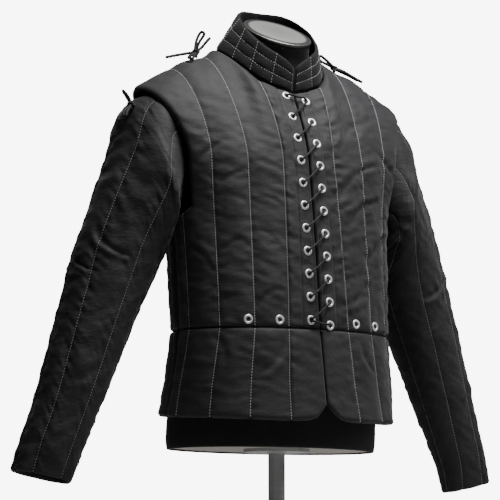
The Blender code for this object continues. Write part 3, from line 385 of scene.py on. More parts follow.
def stitches(name, lines, material, slot, pitch=0.0047, length=0.0030, radius=0.00062, proud=0.35):
    """Running stitches as small spindles along lines of places and normals."""
    ring = [(math.cos(a), math.sin(a)) for a in np.linspace(0, 2 * math.pi, 6, endpoint=False)]
    shape = [(-0.5, 0.0, 0.0)] + [(-0.28, c, s) for c, s in ring] + [(0.28, c, s) for c, s in ring]
    shape.append((0.5, 0.0, 0.0))
    shape = np.array(shape) * (length, radius, radius)
    parts = []
    for k in range(6):
        n = (k + 1) % 6
        parts += [(0, 1 + n, 1 + k), (1 + k, 1 + n, 7 + n, 7 + k), (7 + k, 7 + n, 13)]
    points, faces = [], []
    for places, normals in lines:
        good = ~np.isnan(places[:, 0])
        places, normals = places[good], normals[good]
        run = np.concatenate(([0.0], np.cumsum(np.linalg.norm(np.diff(places, axis=0), axis=1))))
        for at in np.arange(pitch, run[-1] - pitch * 0.5, pitch):
            place = np.array([np.interp(at, run, places[:, k]) for k in range(3)])
            ahead, behind = (np.array([np.interp(at + step, run, places[:, k]) for k in range(3)])
                             for step in (0.001, -0.001))
            normal = np.array([np.interp(at, run, normals[:, k]) for k in range(3)])
            way = (ahead - behind) / np.linalg.norm(ahead - behind)
            side = np.cross(normal, way)
            side /= np.linalg.norm(side)
            up = np.cross(way, side)
            base = len(points)
            for x, y, z in shape:
                points.append(place + way * x + side * y + up * (z + radius * proud) + (0, 0, BASE))
            faces += [[base + i for i in face] for face in parts]
    data = bpy.data.meshes.new(name)
    data.from_pydata([tuple(p) for p in points], [], faces)
    data.materials.append(material)
    finished(link(bpy.data.objects.new(name, data)), slot)


weave = bpy.data.node_groups.new("cotton_weave", "ShaderNodeTree")
for name, way, kind in (("Dark", "INPUT", "NodeSocketColor"), ("Light", "INPUT", "NodeSocketColor"),
                        ("Twill", "INPUT", "NodeSocketFloat"), ("Rumpled", "INPUT", "NodeSocketFloat"),
                        ("Color", "OUTPUT", "NodeSocketColor"), ("Normal", "OUTPUT", "NodeSocketVector")):
    weave.interface.new_socket(name=name, in_out=way, socket_type=kind)
given = added(weave, "NodeGroupInput")
place = added(weave, "ShaderNodeTexCoord")
at, on_cloth = place.outputs["Object"], place.outputs["UV"]
patch = added(weave, "ShaderNodeTexNoise", {"Scale": 22.0, "Detail": 5.0}, {"Vector": at})
fleck = added(weave, "ShaderNodeTexNoise", {"Scale": 420.0, "Detail": 2.0}, {"Vector": at})
dye = added(weave, "ShaderNodeMath", None, {0: patch.outputs["Fac"], 1: fleck.outputs["Fac"]},
            operation="ADD")
worn = added(weave, "ShaderNodeMapRange", {"From Min": 0.68, "From Max": 1.36}, {"Value": dye.outputs[0]})
colour = added(weave, "ShaderNodeMixRGB", None, {"Fac": worn.outputs[0], "Color1": given.outputs["Dark"],
                                                 "Color2": given.outputs["Light"]})
plain, twilled = (added(weave, "ShaderNodeTexWave", {"Scale": 320.0, "Distortion": 1.2, "Detail": 2.0},
                        {"Vector": on_cloth}, bands_direction=way) for way in ("X", "DIAGONAL"))
yarns = added(weave, "ShaderNodeMix", None, {"Factor": given.outputs["Twill"], "A": plain.outputs["Fac"],
                                             "B": twilled.outputs["Fac"]})
squeeze = added(weave, "ShaderNodeMapping", {"Rotation": (0.0, 0.25, 0.0), "Scale": (52.0, 52.0, 135.0)},
                {"Vector": at})
rumple = added(weave, "ShaderNodeTexNoise", {"Scale": 1.0, "Detail": 3.0, "Distortion": 0.4},
               {"Vector": squeeze.outputs[0]})
fold = added(weave, "ShaderNodeBump", {"Distance": 0.0022},
             {"Height": rumple.outputs["Fac"], "Strength": given.outputs["Rumpled"]})
ribs = added(weave, "ShaderNodeBump", {"Strength": 0.35, "Distance": 0.0003},
             {"Height": yarns.outputs[0], "Normal": fold.outputs[0]})
slub = added(weave, "ShaderNodeBump", {"Strength": 0.5, "Distance": 0.0007},
             {"Height": fleck.outputs["Fac"], "Normal": ribs.outputs[0]})
added(weave, "NodeGroupOutput", None, {"Color": colour.outputs[0], "Normal": slub.outputs[0]})


def cloth_material(name, dark, light, rough, sheen, rumpled, twill=1.0):
    """Dyed cotton in the shared weave, with its own tones, sheen and fine creases."""
    material = new_material(name, {"Roughness": rough, "Sheen Weight": sheen, "Sheen Roughness": 0.4,
                                   "Specular IOR Level": 0.3})
    tree, shader = material.node_tree, material.node_tree.nodes["Principled BSDF"]
    woven = added(tree, "ShaderNodeGroup", {"Dark": (*dark, 1.0), "Light": (*light, 1.0), "Twill": twill,
                                            "Rumpled": rumpled}, node_tree=weave)
    tree.links.new(woven.outputs["Color"], shader.inputs["Base Color"])
    tree.links.new(woven.outputs["Normal"], shader.inputs["Normal"])
    return material


cotton = cloth_material("black_cotton_twill", (0.010, 0.010, 0.0108), (0.021, 0.021, 0.0225), 0.68, 0.10,
                        0.24)
sleeve_cotton = cloth_material("black_sleeve_cotton", (0.008, 0.008, 0.0086), (0.017, 0.017, 0.0182), 0.70,
                               0.08, 0.50)
thread, sleeve_thread = (new_material(name, {"Base Color": (tone, tone, tone, 1.0), "Roughness": 0.7})
                         for name, tone in (("grey_quilting_thread", 0.42), ("dark_quilting_thread", 0.20)))

# Eyelets: two-part nickel-plated rings, 15.6 mm across, set through the fronts; eleven up each edge
# and two on each side of the waist. One ring is turned, then set at each CAD eyelet.
FLANGE_TOP = 0.0013   # how far the ring's middle lies below the top of the CAD flange
nickel = new_material("bright_nickel", {"Metallic": 0.7, "Base Color": (0.78, 0.78, 0.76, 1.0)})
tree = nickel.node_tree
at = added(tree, "ShaderNodeTexCoord").outputs["Object"]
scratch = added(tree, "ShaderNodeTexNoise", {"Scale": 900.0}, {"Vector": at})
dulled = added(tree, "ShaderNodeMapRange", {"To Min": 0.30, "To Max": 0.48},
               {"Value": scratch.outputs["Fac"]})
tree.links.new(dulled.outputs[0], tree.nodes["Principled BSDF"].inputs["Roughness"])
bpy.ops.object.select_all(action="DESELECT")
bpy.ops.mesh.primitive_cylinder_add(vertices=36, radius=0.0039, depth=0.0085, end_fill_type="NOTHING",
                                    location=(0.0, 0.0, -0.0040))
barrel = bpy.context.object
bpy.ops.mesh.primitive_torus_add(major_radius=0.0058, minor_radius=0.0020, major_segments=36,
                                 minor_segments=12, location=(0.0, 0.0, 0.0))
ring = bpy.context.object
ring.scale = (1.0, 1.0, 0.62)
barrel.select_set(True)
bpy.context.view_layer.objects.active = ring
bpy.ops.object.transform_apply(location=True, rotation=True, scale=True)
bpy.ops.object.join()
bpy.ops.object.transform_apply(location=True, rotation=True, scale=True)
pattern = bpy.context.object
pattern.data.polygons.foreach_set("use_smooth", [True] * len(pattern.data.polygons))
pattern.data.materials.append(nickel)
eyelet_frames = {}
for side in ("right", "left"):
    for number in range(1, 14):
        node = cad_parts[f"eyelet_{side}_{number:02d}"]
        points = np.array([tuple(vertex.co) for vertex in node.data.vertices])
        values, ways = np.linalg.eigh(np.cov((points - points.mean(axis=0)).T))
        # the axis is the way whose spread differs most from the other two
        odd = int(np.argmax([min(abs(values[i] - values[j]) for j in range(3) if j != i) for i in range(3)]))
        facing = Vector(ways[:, odd])
        if facing.y > 0:
            facing = -facing
        level = (points @ np.array(facing)).max() - FLANGE_TOP
        middle = Vector((points.max(axis=0) + points.min(axis=0)) / 2)
        place = middle + facing * (level - middle.dot(facing))
        across = Vector((0.0, 0.0, 1.0)).cross(facing).normalized()
        turned = Matrix((across, facing.cross(across), facing)).transposed().to_4x4()
        set_at = Matrix.Translation(place) @ turned
        eyelet_frames[side, number] = set_at
        data = pattern.data.copy()
        data.transform(set_at)
        item = link(bpy.data.objects.new(f"eyelet_{side}_{number:02d}_ring", data))
        finished(item, "nickel_eyelet", node.name)
bpy.data.objects.remove(pattern, do_unlink=True)

# Body: two fronts that meet edge to edge and a back, waist to neck and shoulder, and below the waist
# seam two skirt fronts with rounded corners and a back. Flat sizes are those of the cut panels.
WAIST, UNDERARM, ARM_CORNER, CHEST = 0.190, 0.370, 0.388, 0.465
WALL, DEPTH, SEAM = 0.0085, 0.0042, 0.00015
CHANNEL, COLUMN = 0.058, 0.0193      # width of a quilted channel, and cloth to a column, three to a channel
HALF_CLEFT, HALF_OPENING = 0.0015, 0.0009      # from the middle to the shape's and the cloth's front edge
SKIRT_FLARE = 0.17    # how much wider apart the channels are at the hem than at the waist
TORSO = (          # rise, half width, front and back depth, centre y, roundness
    (0.040, 0.211, 0.170, 0.148, 0.006, 2.00), (0.100, 0.204, 0.149, 0.132, -0.002, 2.05),
    (0.150, 0.1985, 0.136, 0.122, -0.008, 2.12), (0.190, 0.1965, 0.1285, 0.118, -0.010, 2.15),
    (0.250, 0.1975, 0.125, 0.120, -0.008, 2.15), (0.333, 0.201, 0.120, 0.126, -0.004, 2.15),
    (0.400, 0.209, 0.116, 0.131, 0.000, 2.15), (0.465, 0.230, 0.107, 0.134, 0.000, 2.15))
FRONT_TOP = (      # column, x, y, rise, then the way in which a column arrives there
    (0, 0.000, -0.057, 0.590, 0.00, 0.055, 0.115), (2, 0.036, -0.051, 0.600, 0.00, 0.075, 0.115),
    (3, 0.060, -0.043, 0.611, 0.01, 0.105, 0.110), (4, 0.084, -0.018, 0.636, 0.02, 0.140, 0.080),
    (5, 0.103, 0.030, 0.666, 0.02, 0.180, 0.045), (6, 0.128, 0.030, 0.6545, 0.02, 0.190, 0.035),
    (9, 0.192, 0.030, 0.628, 0.03, 0.190, 0.020), (11, 0.257, 0.030, 0.588, 0.05, 0.190, 0.000))
BACK_TOP = (
    (0, 0.000, 0.090, 0.684, 0.00, -0.060, 0.120), (2, 0.040, 0.083, 0.682, 0.00, -0.070, 0.115),
    (4, 0.084, 0.058, 0.674, 0.00, -0.110, 0.080), (5, 0.103, 0.030, 0.666, 0.02, -0.150, 0.040),
    (6, 0.128, 0.030, 0.6545, 0.02, -0.160, 0.030), (9, 0.192, 0.030, 0.628, 0.03, -0.160, 0.020),
    (11, 0.257, 0.030, 0.588, 0.04, -0.170, 0.000))
ANGLES = np.linspace(0.0, math.pi / 2, 121)


def torso_point(column, rise, back, flare=1.0):
    """A point of the torso's crown surface; column 12 is the last channel, 14 the side seam."""
    half_width, front, rear, centre, power = smooth_rows(TORSO, rise)
    across = half_width * np.sin(ANGLES) ** (2 / power)
    along = (rear if back else -front) * np.cos(ANGLES) ** (2 / power)
    lengths = np.concatenate(([0.0], np.cumsum(np.hypot(np.diff(across), np.diff(along)))))
    arc = CHANNEL / 3 * min(column, 12.0) * flare
    if not back and column < 8:
        weight = np.interp(column, range(9), (0.0, 0.35, 0.7, 1.0, 0.8, 0.6, 0.4, 0.2, 0.0))
        arc -= 0.008 * weight * min(max((rise - WAIST) / (CHEST - WAIST), 0.0), 1.0)
    if column > 12:
        arc += (column - 12) / 2 * (lengths[-1] - arc)
    x = np.interp(arc, lengths, across)
    return np.array((x if back else max(x, HALF_CLEFT), centre + np.interp(arc, lengths, along), rise))


def body_point(column, row, back):
    """A point of the crown surface; rows 0 to 5 end at the underarm, 8 is the chest, 14 the top edge."""
    drop = max(column - 11, 0) / 3
    top = ARM_CORNER - (ARM_CORNER - UNDERARM) * (1 - (1 - drop) ** 2)
    if row <= 5:
        return torso_point(column, WAIST + (top - WAIST) * row / 5, back)
    if column > 11.0001:
        return np.full(3, np.nan)
    if row <= 8:
        return torso_point(column, ARM_CORNER + (CHEST - ARM_CORNER) * (row - 5) / 3, back)
    chest = torso_point(column, CHEST, back)
    x, y, rise, *pull = smooth_rows(BACK_TOP if back else FRONT_TOP, column)
    start_pull = (chest - torso_point(column, CHEST - 0.02, back)) * 6.0
    start_pull[0] *= 0.5
    point = hermite(chest, start_pull, np.array((x, y, rise)), np.array(pull), (row - 8) / 6)
    point[0] = point[0] if back else max(point[0], HALF_CLEFT)
    return point


def skirt_point(column, row, back):
    """A point of the skirt's crown surface, from row 0 at the waist to row 5 at the hem."""
    share = column / 28 if not back else 1 - column / 28
    hem = 0.040 + 0.020 * (1 - math.cos(math.pi * share)) / 2
    if not back:
        hem += np.interp(column, (0, 0.5, 1, 1.5, 2, 3), (0.030, 0.0155, 0.006, 0.0025, 0.001, 0.0))
    return torso_point(column, WAIST + (hem - WAIST) * row / 5, back, 1 + SKIRT_FLARE * row / 5)


def quilting(columns, back, top):
    """Height of the crowns from 0 to 1, and distance from the nearest line, for each column."""
    cell = np.where(columns < 12, (columns % 3) / 3, (columns - 12) / 2)
    crown = np.abs(np.sin(np.pi * cell)) ** 0.6
    near = np.minimum(cell, 1 - cell) * np.where(columns < 12, CHANNEL, 0.045)
    if back:
        return crown, near
    strip = columns < 3       # the flat strip that holds the eyelets, with two tucks on the bodice
    tuck = sum(np.exp(-((columns - at) / 0.075) ** 2) for at in (0.42, 1.72)) * (0.55 if top else 0.0)
    beyond = 0.10 * np.sin(np.pi * (columns - 1.72) / 1.28) * (columns > 1.72)
    crown = np.where(strip, 0.86 - tuck + beyond, crown)
    crown = np.where(strip & (columns > 2.6), crown * (1 - ((columns - 2.6) / 0.4) ** 3), crown)
    return crown, np.where(strip, np.abs(columns - 3) * COLUMN, near)


def held_by_rings(outer, ring_side):
    """Pulls the cloth under each eyelet of one front in to just below its flange."""
    flip = np.array((-1.0 if ring_side == "right" else 1.0, 1.0, 1.0))
    for (side, _), ring_at in eyelet_frames.items():
        if side == ring_side:
            middle, facing = np.array(ring_at.translation) * flip, np.array(ring_at.col[2].to_3d()) * flip
            gap = outer + (0.0, -SEAM, BASE + SEAM) - middle
            above = gap @ facing
            beside = np.linalg.norm(gap - above[..., None] * facing, axis=-1)
            hold = np.clip((0.015 - beside) / 0.0065, 0.0, 1.0) * (np.abs(above) < 0.02)
            hold = hold * hold * (3 - 2 * hold)
            hold[np.isnan(hold)] = 0.0
            outer -= (np.where(hold > 0, above + 0.0002, 0.0) * hold)[..., None] * facing


def body_panel(point, back, rows, table, seed, tame, ring_side):
    """Outer and inner points, normals and map of half a panel."""
    columns = np.concatenate((np.arange(0, 36) / 12, 3 + np.arange(0, 67) / 6))
    grid = np.array([[point(column, row, back) for column in columns] for row in rows])
    top = rows[-1] > 8
    normals = normals_of(grid, np.array((0.0, 0.02, 0.35 if top else 0.12)))
    flatten(normals, (slice(None), -1), 1)
    flatten(normals, (slice(None), 0), 0)
    flatten(normals, (0, slice(None)), 2)
    if top:
        flatten(normals, (-1, (columns >= 5) & (columns <= 11)), 1)
    along = lengths_along(grid)
    crown, near = quilting(columns, back, top)
    height = crown * (0.88 + 0.12 * np.sin(along * 31.0 + np.floor(columns / 3) * 2.3 + seed))
    lift = puckers(along, columns, near, seed, 0.011, 0.0085) * 0.0030 * tame
    lift += crumple(grid, (0.026, 0.040), seed, 0.6) * 0.0015 * tame * height
    lift += crumple(grid, (0.060, 0.013), seed + 40, -0.35) * 0.0016 * tame * height
    lift += crumple(grid, (0.013, 0.009), seed + 80, 0.4) * 0.0006 * tame * height
    lift -= creases(columns, rows, table, (COLUMN, 0.036))
    edges = [grid[0], grid[:, -1]]
    if not back:
        edges.append(grid[:, 0])
    if top:
        edges += [grid[-1], grid[np.asarray(rows) > 4.99][:, np.isclose(columns, 11)].reshape(-1, 3),
                  grid[np.isclose(rows, 5)][0][columns > 11]]
    else:
        edges.append(grid[-1])
    edges = np.concatenate([edge.reshape(-1, 3) for edge in edges])
    far = edge_distance(grid, edges[~np.isnan(edges[:, 0])])
    fall = rounded(far, 0.0055, 0.0036)
    fade = np.clip(far / 0.008, 0.0, 1.0)
    waist = np.clip(1 - along / 0.020, 0.0, 1.0) ** 2
    offset = DEPTH * (1 - height * (1 - 0.5 * waist)) + fall - lift * fade
    outer = grid - normals * offset[..., None]
    inner = grid - normals * (WALL - fall[..., None] * 0.5)
    if not back:
        if top:
            held_by_rings(outer, ring_side)
        outer[:, :, 0] = np.maximum(outer[:, :, 0], HALF_OPENING)
        inner[:, :, 0] = np.maximum(inner[:, :, 0], HALF_OPENING)
    spread = np.where(columns < 12, columns * COLUMN, 0.232 + (columns - 12) * 0.02)
    return outer, inner, normals, spread, along, columns


def whole(points):
    """Both halves of a panel from its left half."""
    return np.concatenate((points[:, :0:-1] * (-1.0, 1.0, 1.0), points), axis=1)


def stitch_lines(outer, normals, columns, lines):
    """Places and normals of the columns that the quilting lines follow."""
    indexes = [int(np.argmin(np.abs(columns - line))) for line in lines]
    return [(outer[:, index], normals[:, index]) for index in indexes]


body_rows = np.concatenate((np.arange(0, 60) / 12, 5 + np.arange(0, 24) / 8, 8 + np.arange(0, 55) / 9))
skirt_rows = np.arange(0, 46) / 9
pulls = {          # folds: from and to as column and row, half width, depth
    "bodice_front_right": (((7.4, 9.2), (10.4, 7.4), 0.005, 0.0020), ((5.6, 7.4), (8.8, 5.9), 0.005, 0.0014),
                           ((3.6, 3.4), (6.2, 4.0), 0.004, 0.0011), ((9.2, 2.2), (12.4, 3.6), 0.005, 0.0018),
                           ((6.6, 1.2), (9.6, 0.9), 0.004, 0.0013), ((3.4, 5.2), (5.2, 5.6), 0.004, 0.0010),
                           ((6.3, 3.6), (8.7, 3.0), 0.004, 0.0013), ((3.3, 1.6), (5.6, 1.0), 0.004, 0.0014)),
    "bodice_front_left": (((3.2, 6.0), (8.4, 8.6), 0.007, 0.0034), ((3.4, 3.9), (8.8, 6.3), 0.007, 0.0036),
                          ((5.2, 2.4), (10.6, 4.4), 0.006, 0.0030), ((3.3, 8.9), (6.4, 10.4), 0.006, 0.0022),
                          ((3.6, 1.0), (6.8, 2.1), 0.005, 0.0020), ((8.8, 1.1), (12.6, 2.4), 0.006, 0.0024),
                          ((7.4, 9.3), (10.6, 7.7), 0.006, 0.0026)),
    "bodice_back": (((3.4, 5.4), (8.6, 7.2), 0.008, 0.0024), ((9.4, 3.2), (12.6, 4.4), 0.006, 0.0022),
                    ((2.2, 1.4), (6.4, 2.2), 0.007, 0.0020)),
    "skirt_front_right": (((3.6, 0.5), (5.4, 2.6), 0.006, 0.0022), ((9.4, 0.4), (8.2, 2.4), 0.006, 0.0020)),
    "skirt_front_left": (((4.2, 0.4), (5.6, 2.2), 0.006, 0.0022), ((10.4, 0.5), (9.4, 2.8), 0.006, 0.0022)),
    "skirt_back": (((5.2, 0.4), (6.4, 2.6), 0.007, 0.0020),),
}
for name, back, top, sign, seed, tame in (
        ("bodice_front_right", False, True, -1.0, 3.0, 1.0),
        ("bodice_front_left", False, True, 1.0, 11.0, 1.5),
        ("bodice_back", True, True, 0.0, 23.0, 1.0), ("skirt_front_right", False, False, -1.0, 31.0, 0.9),
        ("skirt_front_left", False, False, 1.0, 43.0, 1.0), ("skirt_back", True, False, 0.0, 57.0, 0.9)):
    outer, inner, normals, spread, along, columns = body_panel(
        body_point if top else skirt_point, back, body_rows if top else skirt_rows, pulls[name], seed, tame,
        "right" if sign < 0 else "left")
    shift = np.array((0.0, SEAM if back else -SEAM, SEAM if top else -SEAM))
    outer, inner = outer + shift, inner + shift
    lines = stitch_lines(outer, normals, columns, (3, 6, 9, 12) if not back else (0, 3, 6, 9, 12))
    if sign:
        flip = np.array((sign, 1.0, 1.0))
        item = wall_item(name + "_cloth", outer * flip, inner * flip, spread, along, cotton)
        lines = [(places * flip, ways * flip) for places, ways in lines]
    else:
        spread = np.concatenate((-spread[:0:-1], spread))
        item = wall_item(name + "_cloth", whole(outer), whole(inner), spread,
                         np.concatenate((along[:, :0:-1], along), axis=1), cotton)
        lines += [(places * (-1, 1, 1), ways * (-1, 1, 1)) for places, ways in lines[1:]]
    finished(item, "black_quilted_cotton", name)
    stitches(name + "_quilting", lines, thread, "black_quilted_cotton")

# Sleeves: seven channels each, narrowing from a deep head under the armhole edge to the open cuff. The
# same quilted cotton a little thinner, darker in tone, and pulled into folds at the elbow.
SLEEVE_WALL, SLEEVE_DEPTH, SLEEVE_STEP = 0.0065, 0.0032, 0.0205      # the last is cloth to a step round it
SLEEVE = (         # outer x and rise, inner x and rise, half depth, centre y, roll in degrees
    (0.2140, 0.569, 0.1900, 0.391, 0.0525, 0.011, 0), (0.2390, 0.575, 0.2050, 0.382, 0.0574, 0.0078, 12),
    (0.2600, 0.571, 0.2110, 0.366, 0.0614, 0.0093, 24), (0.2760, 0.553, 0.2110, 0.347, 0.065, 0.0105, 30),
    (0.2910, 0.503, 0.2105, 0.328, 0.066, 0.016, 33), (0.3090, 0.450, 0.2115, 0.310, 0.067, 0.022, 33),
    (0.3300, 0.390, 0.2140, 0.294, 0.067, 0.030, 31), (0.3515, 0.329, 0.2180, 0.2785, 0.0655, 0.035, 30),
    (0.3620, 0.294, 0.2330, 0.246, 0.063, 0.037, 28), (0.3715, 0.259, 0.2490, 0.213, 0.0605, 0.037, 26),
    (0.3850, 0.213, 0.2680, 0.170, 0.057, 0.0365, 25), (0.3985, 0.168, 0.2870, 0.126, 0.0525, 0.036, 23),
    (0.4100, 0.127, 0.3040, 0.086, 0.049, 0.0355, 22), (0.4215, 0.087, 0.3210, 0.0472, 0.0445, 0.0355, 20),
    (0.4345, 0.050, 0.3365, 0.0118, 0.041, 0.036, 18), (0.4480, 0.0133, 0.3510, -0.0243, 0.037, 0.037, 17),
    (0.4635, -0.0406, 0.3645, -0.0624, 0.032, 0.041, 13))
sleeve_folds = {   # from and to as step round the sleeve and row, half width, depth
    "right": (((2.0, 6.4), (5.5, 7.2), 0.005, 0.0026), ((0.4, 7.6), (3.5, 8.3), 0.004, 0.0024),
              ((18.2, 7.4), (20.0, 8.3), 0.004, 0.0022),
              ((17.5, 3.6), (20.0, 4.8), 0.007, 0.0028), ((15.4, 5.4), (20.0, 6.2), 0.006, 0.0028),
              ((14.8, 8.6), (19.8, 7.7), 0.006, 0.0030), ((15.2, 10.6), (20.0, 9.7), 0.006, 0.0028),
              ((14.6, 12.2), (19.8, 12.8), 0.006, 0.0026), ((15.6, 14.2), (20.0, 13.8), 0.005, 0.0022)),
    "left": (((14.6, 7.0), (20.0, 8.0), 0.006, 0.0042), ((14.2, 8.2), (20.2, 8.7), 0.006, 0.0042),
             ((15.0, 9.4), (20.0, 9.1), 0.005, 0.0034), ((15.4, 4.4), (20.0, 5.5), 0.007, 0.0034),
             ((14.8, 11.4), (20.0, 10.9), 0.006, 0.0030), ((15.2, 13.0), (20.0, 13.7), 0.005, 0.0028),
             ((1.5, 7.0), (6.0, 8.0), 0.006, 0.0034)),
}
around = np.arange(0, 126) / 6
sleeve_rows = np.arange(0, 241) / 15
row_table = [(index, *section) for index, section in enumerate(SLEEVE)]
for side, sign, seed, phase in (("right", -1.0, 71.0, 17.0), ("left", 1.0, 83.0, 30.0)):
    crown = np.empty((len(sleeve_rows), len(around), 3))
    middle = np.empty((len(sleeve_rows), 1, 3))
    for index, row in enumerate(sleeve_rows):
        x_out, rise_out, x_in, rise_in, half_depth, y, roll = smooth_rows(row_table, row)
        centre = np.array(((x_out + x_in) / 2, y, (rise_out + rise_in) / 2))
        across = np.array(((x_out - x_in) / 2, 0.0, (rise_out - rise_in) / 2))
        half_width = np.linalg.norm(across)
        across /= half_width
        bend, rear = math.radians(roll), np.array((0.0, 1.0, 0.0))
        across, rear = (across * math.cos(bend) + rear * math.sin(bend),
                        rear * math.cos(bend) - across * math.sin(bend))
        first = phase - (1.5 * (33.0 - roll) if row < 4 else 0.0)
        angle = np.radians(first + 360.0 * around / 21)
        wide, deep = (np.copysign(np.abs(part) ** (2 / 2.3), part)
                      for part in (np.cos(angle), -np.sin(angle)))
        crown[index] = centre + np.outer(wide * half_width, across) + np.outer(deep * half_depth, rear)
        middle[index] = centre
    normals = normals_of(crown, middle, closed=True)
    along = lengths_along(crown)
    cell = (around % 3) / 3
    near = np.minimum(cell, 1 - cell) * 0.062
    height = np.abs(np.sin(np.pi * cell)) ** 0.6 * np.ones((len(sleeve_rows), 1))
    height *= 0.86 + 0.14 * np.sin(along * 36.0 + np.floor(around / 3) * 2.1 + seed)
    lift = puckers(along, around, near, seed, 0.012, 0.010) * 0.0042
    lift += crumple(crown, (0.045, 0.016), seed, 0.55) * 0.0022 * height
    lift += crumple(crown, (0.030, 0.030), seed + 19, -0.6) * 0.0018 * height
    lift += crumple(crown, (0.024, 0.010), seed + 51, 0.5) * 0.0012 * height
    lift -= creases(around, sleeve_rows, sleeve_folds[side], (SLEEVE_STEP, 0.045))
    far = edge_distance(crown, np.concatenate((crown[0], crown[-1])))
    fall = rounded(far, 0.005, 0.0028)
    tucked = np.clip((sleeve_rows - 0.8) / 1.2, 0.0, 1.0)[:, None]
    depth = SLEEVE_DEPTH * (1 - height) + fall - lift * tucked * np.clip(far / 0.012, 0.0, 1.0)
    outer = crown - normals * depth[..., None]
    inner = crown - normals * (SLEEVE_WALL - fall[..., None] * 0.5)
    flip = np.array((sign, 1.0, 1.0))
    item = wall_item(f"sleeve_{side}_cloth", outer * flip, inner * flip, around * SLEEVE_STEP, along,
                     sleeve_cotton, closed=True)
    finished(item, "black_quilted_cotton", f"sleeve_{side}")
    lines = [(outer[:, index] * flip, normals[:, index] * flip) for index in range(0, 126, 18)]
    stitches(f"sleeve_{side}_quilting", lines, sleeve_thread, "black_quilted_cotton")

# Collar: a stand collar of napped black cotton quilted in 40 mm squares, sewn to the neck edge and open
# at the front, where its upper corners are rounded.
velvet = cloth_material("black_napped_cotton", (0.0025, 0.0025, 0.0030), (0.006, 0.006, 0.007), 0.88, 0.05,
                        0.40, twill=0.0)
COLLAR_WALL, COLLAR_DEPTH, HALF_LENGTH = 0.0055, 0.0018, 0.30
COLLAR_TOP = (     # share of the way round, top x, y and rise
    (0.00, 0.0020, -0.0625, 0.641), (0.10, 0.024, -0.0605, 0.649), (0.24, 0.053, -0.046, 0.668),
    (0.42, 0.068, -0.012, 0.699), (0.60, 0.062, 0.020, 0.725), (0.78, 0.045, 0.046, 0.740),
    (1.00, 0.000, 0.060, 0.744))
front_edge = np.array([body_point(c, 14, False) for c in np.arange(0, 31) / 6])
back_edge = np.array([body_point(c, 14, True) for c in np.arange(30, -1, -1) / 6])
neck = np.concatenate((front_edge, back_edge[1:]))
share = np.concatenate(([0.0], np.cumsum(np.linalg.norm(np.diff(neck, axis=0), axis=1))))
share /= share[-1]
places = np.arange(0, 85) / 84
levels = np.arange(0, 31) / 30
collar = np.empty((len(levels), len(places), 3))
for column, place in enumerate(places):
    foot = np.array([np.interp(place, share, neck[:, axis]) for axis in range(3)])
    foot[0] = max(foot[0], 0.002)
    foot[2] += SEAM
    head = smooth_rows(COLLAR_TOP, place)
    head = head - (0.0, 0.0, np.interp(place * 14, (0, 0.4, 1, 2), (0.011, 0.006, 0.002, 0.0)))
    collar[:, column] = foot + np.outer(levels, head - foot)
normals = normals_of(collar, np.array((0.0, 0.02, 0.66)))
flatten(normals, (slice(None), 0), 0)
flatten(normals, (slice(None), -1), 0)
flatten(normals, (slice(None), slice(None)), 2)
u, v = np.meshgrid(places * 7, levels * 3)
height = (np.abs(np.sin(np.pi * u)) * np.abs(np.sin(np.pi * v))) ** 0.45
lift = crumple(collar, (0.022, 0.022), 5.0) * 0.0009 * height
far = edge_distance(collar, np.concatenate((collar[0], collar[-1], collar[:, 0])))
fall = rounded(far, 0.004, 0.0022)
outer = collar - normals * (COLLAR_DEPTH * (1 - height) + fall - lift)[..., None]
inner = collar - normals * (COLLAR_WALL - fall[..., None] * 0.5)
for side in (outer, inner):
    side[:, :, 0] = np.maximum(side[:, :, 0], 0.0012 * (places < 1.0))
both = [np.concatenate((side, side[:, -2::-1] * (-1.0, 1.0, 1.0)), axis=1) for side in (outer, inner)]
run = places * HALF_LENGTH
item = wall_item("collar_cloth", *both, np.concatenate((run, 2 * HALF_LENGTH - run[-2::-1])),
                 lengths_along(both[0]), velvet)
finished(item, "black_quilted_cotton", "collar")
lines = [(outer[:, 84], normals[:, 84])]
for flip in ((1.0, 1.0, 1.0), (-1.0, 1.0, 1.0)):
    lines += [(outer[:, column] * flip, normals[:, column] * flip) for column in range(12, 84, 12)]
    lines += [(outer[level] * flip, normals[level] * flip) for level in (10, 20)]
stitches("collar_quilting", lines, thread, "black_quilted_cotton", radius=0.00036, proud=1.2)

# Front lace: one length of the same black braid from the top of the left front, down in a spiral, to
# the bottom of the right front; it crosses over outside and goes straight across behind the fronts.
DRAWN_LACE = 0.0034   # pulled tight it is thinner than in the bows
BESIDE = 0.0016       # how far a lace goes to the side in a ring that it shares
BEHIND = -0.0112      # where it lies behind the flange


def lace_turn(at, towards, lift, inwards, raised):
    """Points where the lace turns through an eyelet, from above its flange to behind the wall."""
    up, out_way = at.col[1].to_3d(), at.col[2].to_3d()
    way = towards - at.translation
    way = (way - out_way * way.dot(out_way)).normalized()
    strand = at.translation + up * lift
    turns = [(0.0085, 0.0062)] * raised + [(0.0045, 0.0049), (0.0026, 0.0042), (0.0010, 0.0034),
                                           (0.0002, 0.0022), (0.0, 0.0), (0.0, -0.0102)]
    points = [strand + way * reach + out_way * rise for reach, rise in turns]
    return points if inwards else points[::-1]


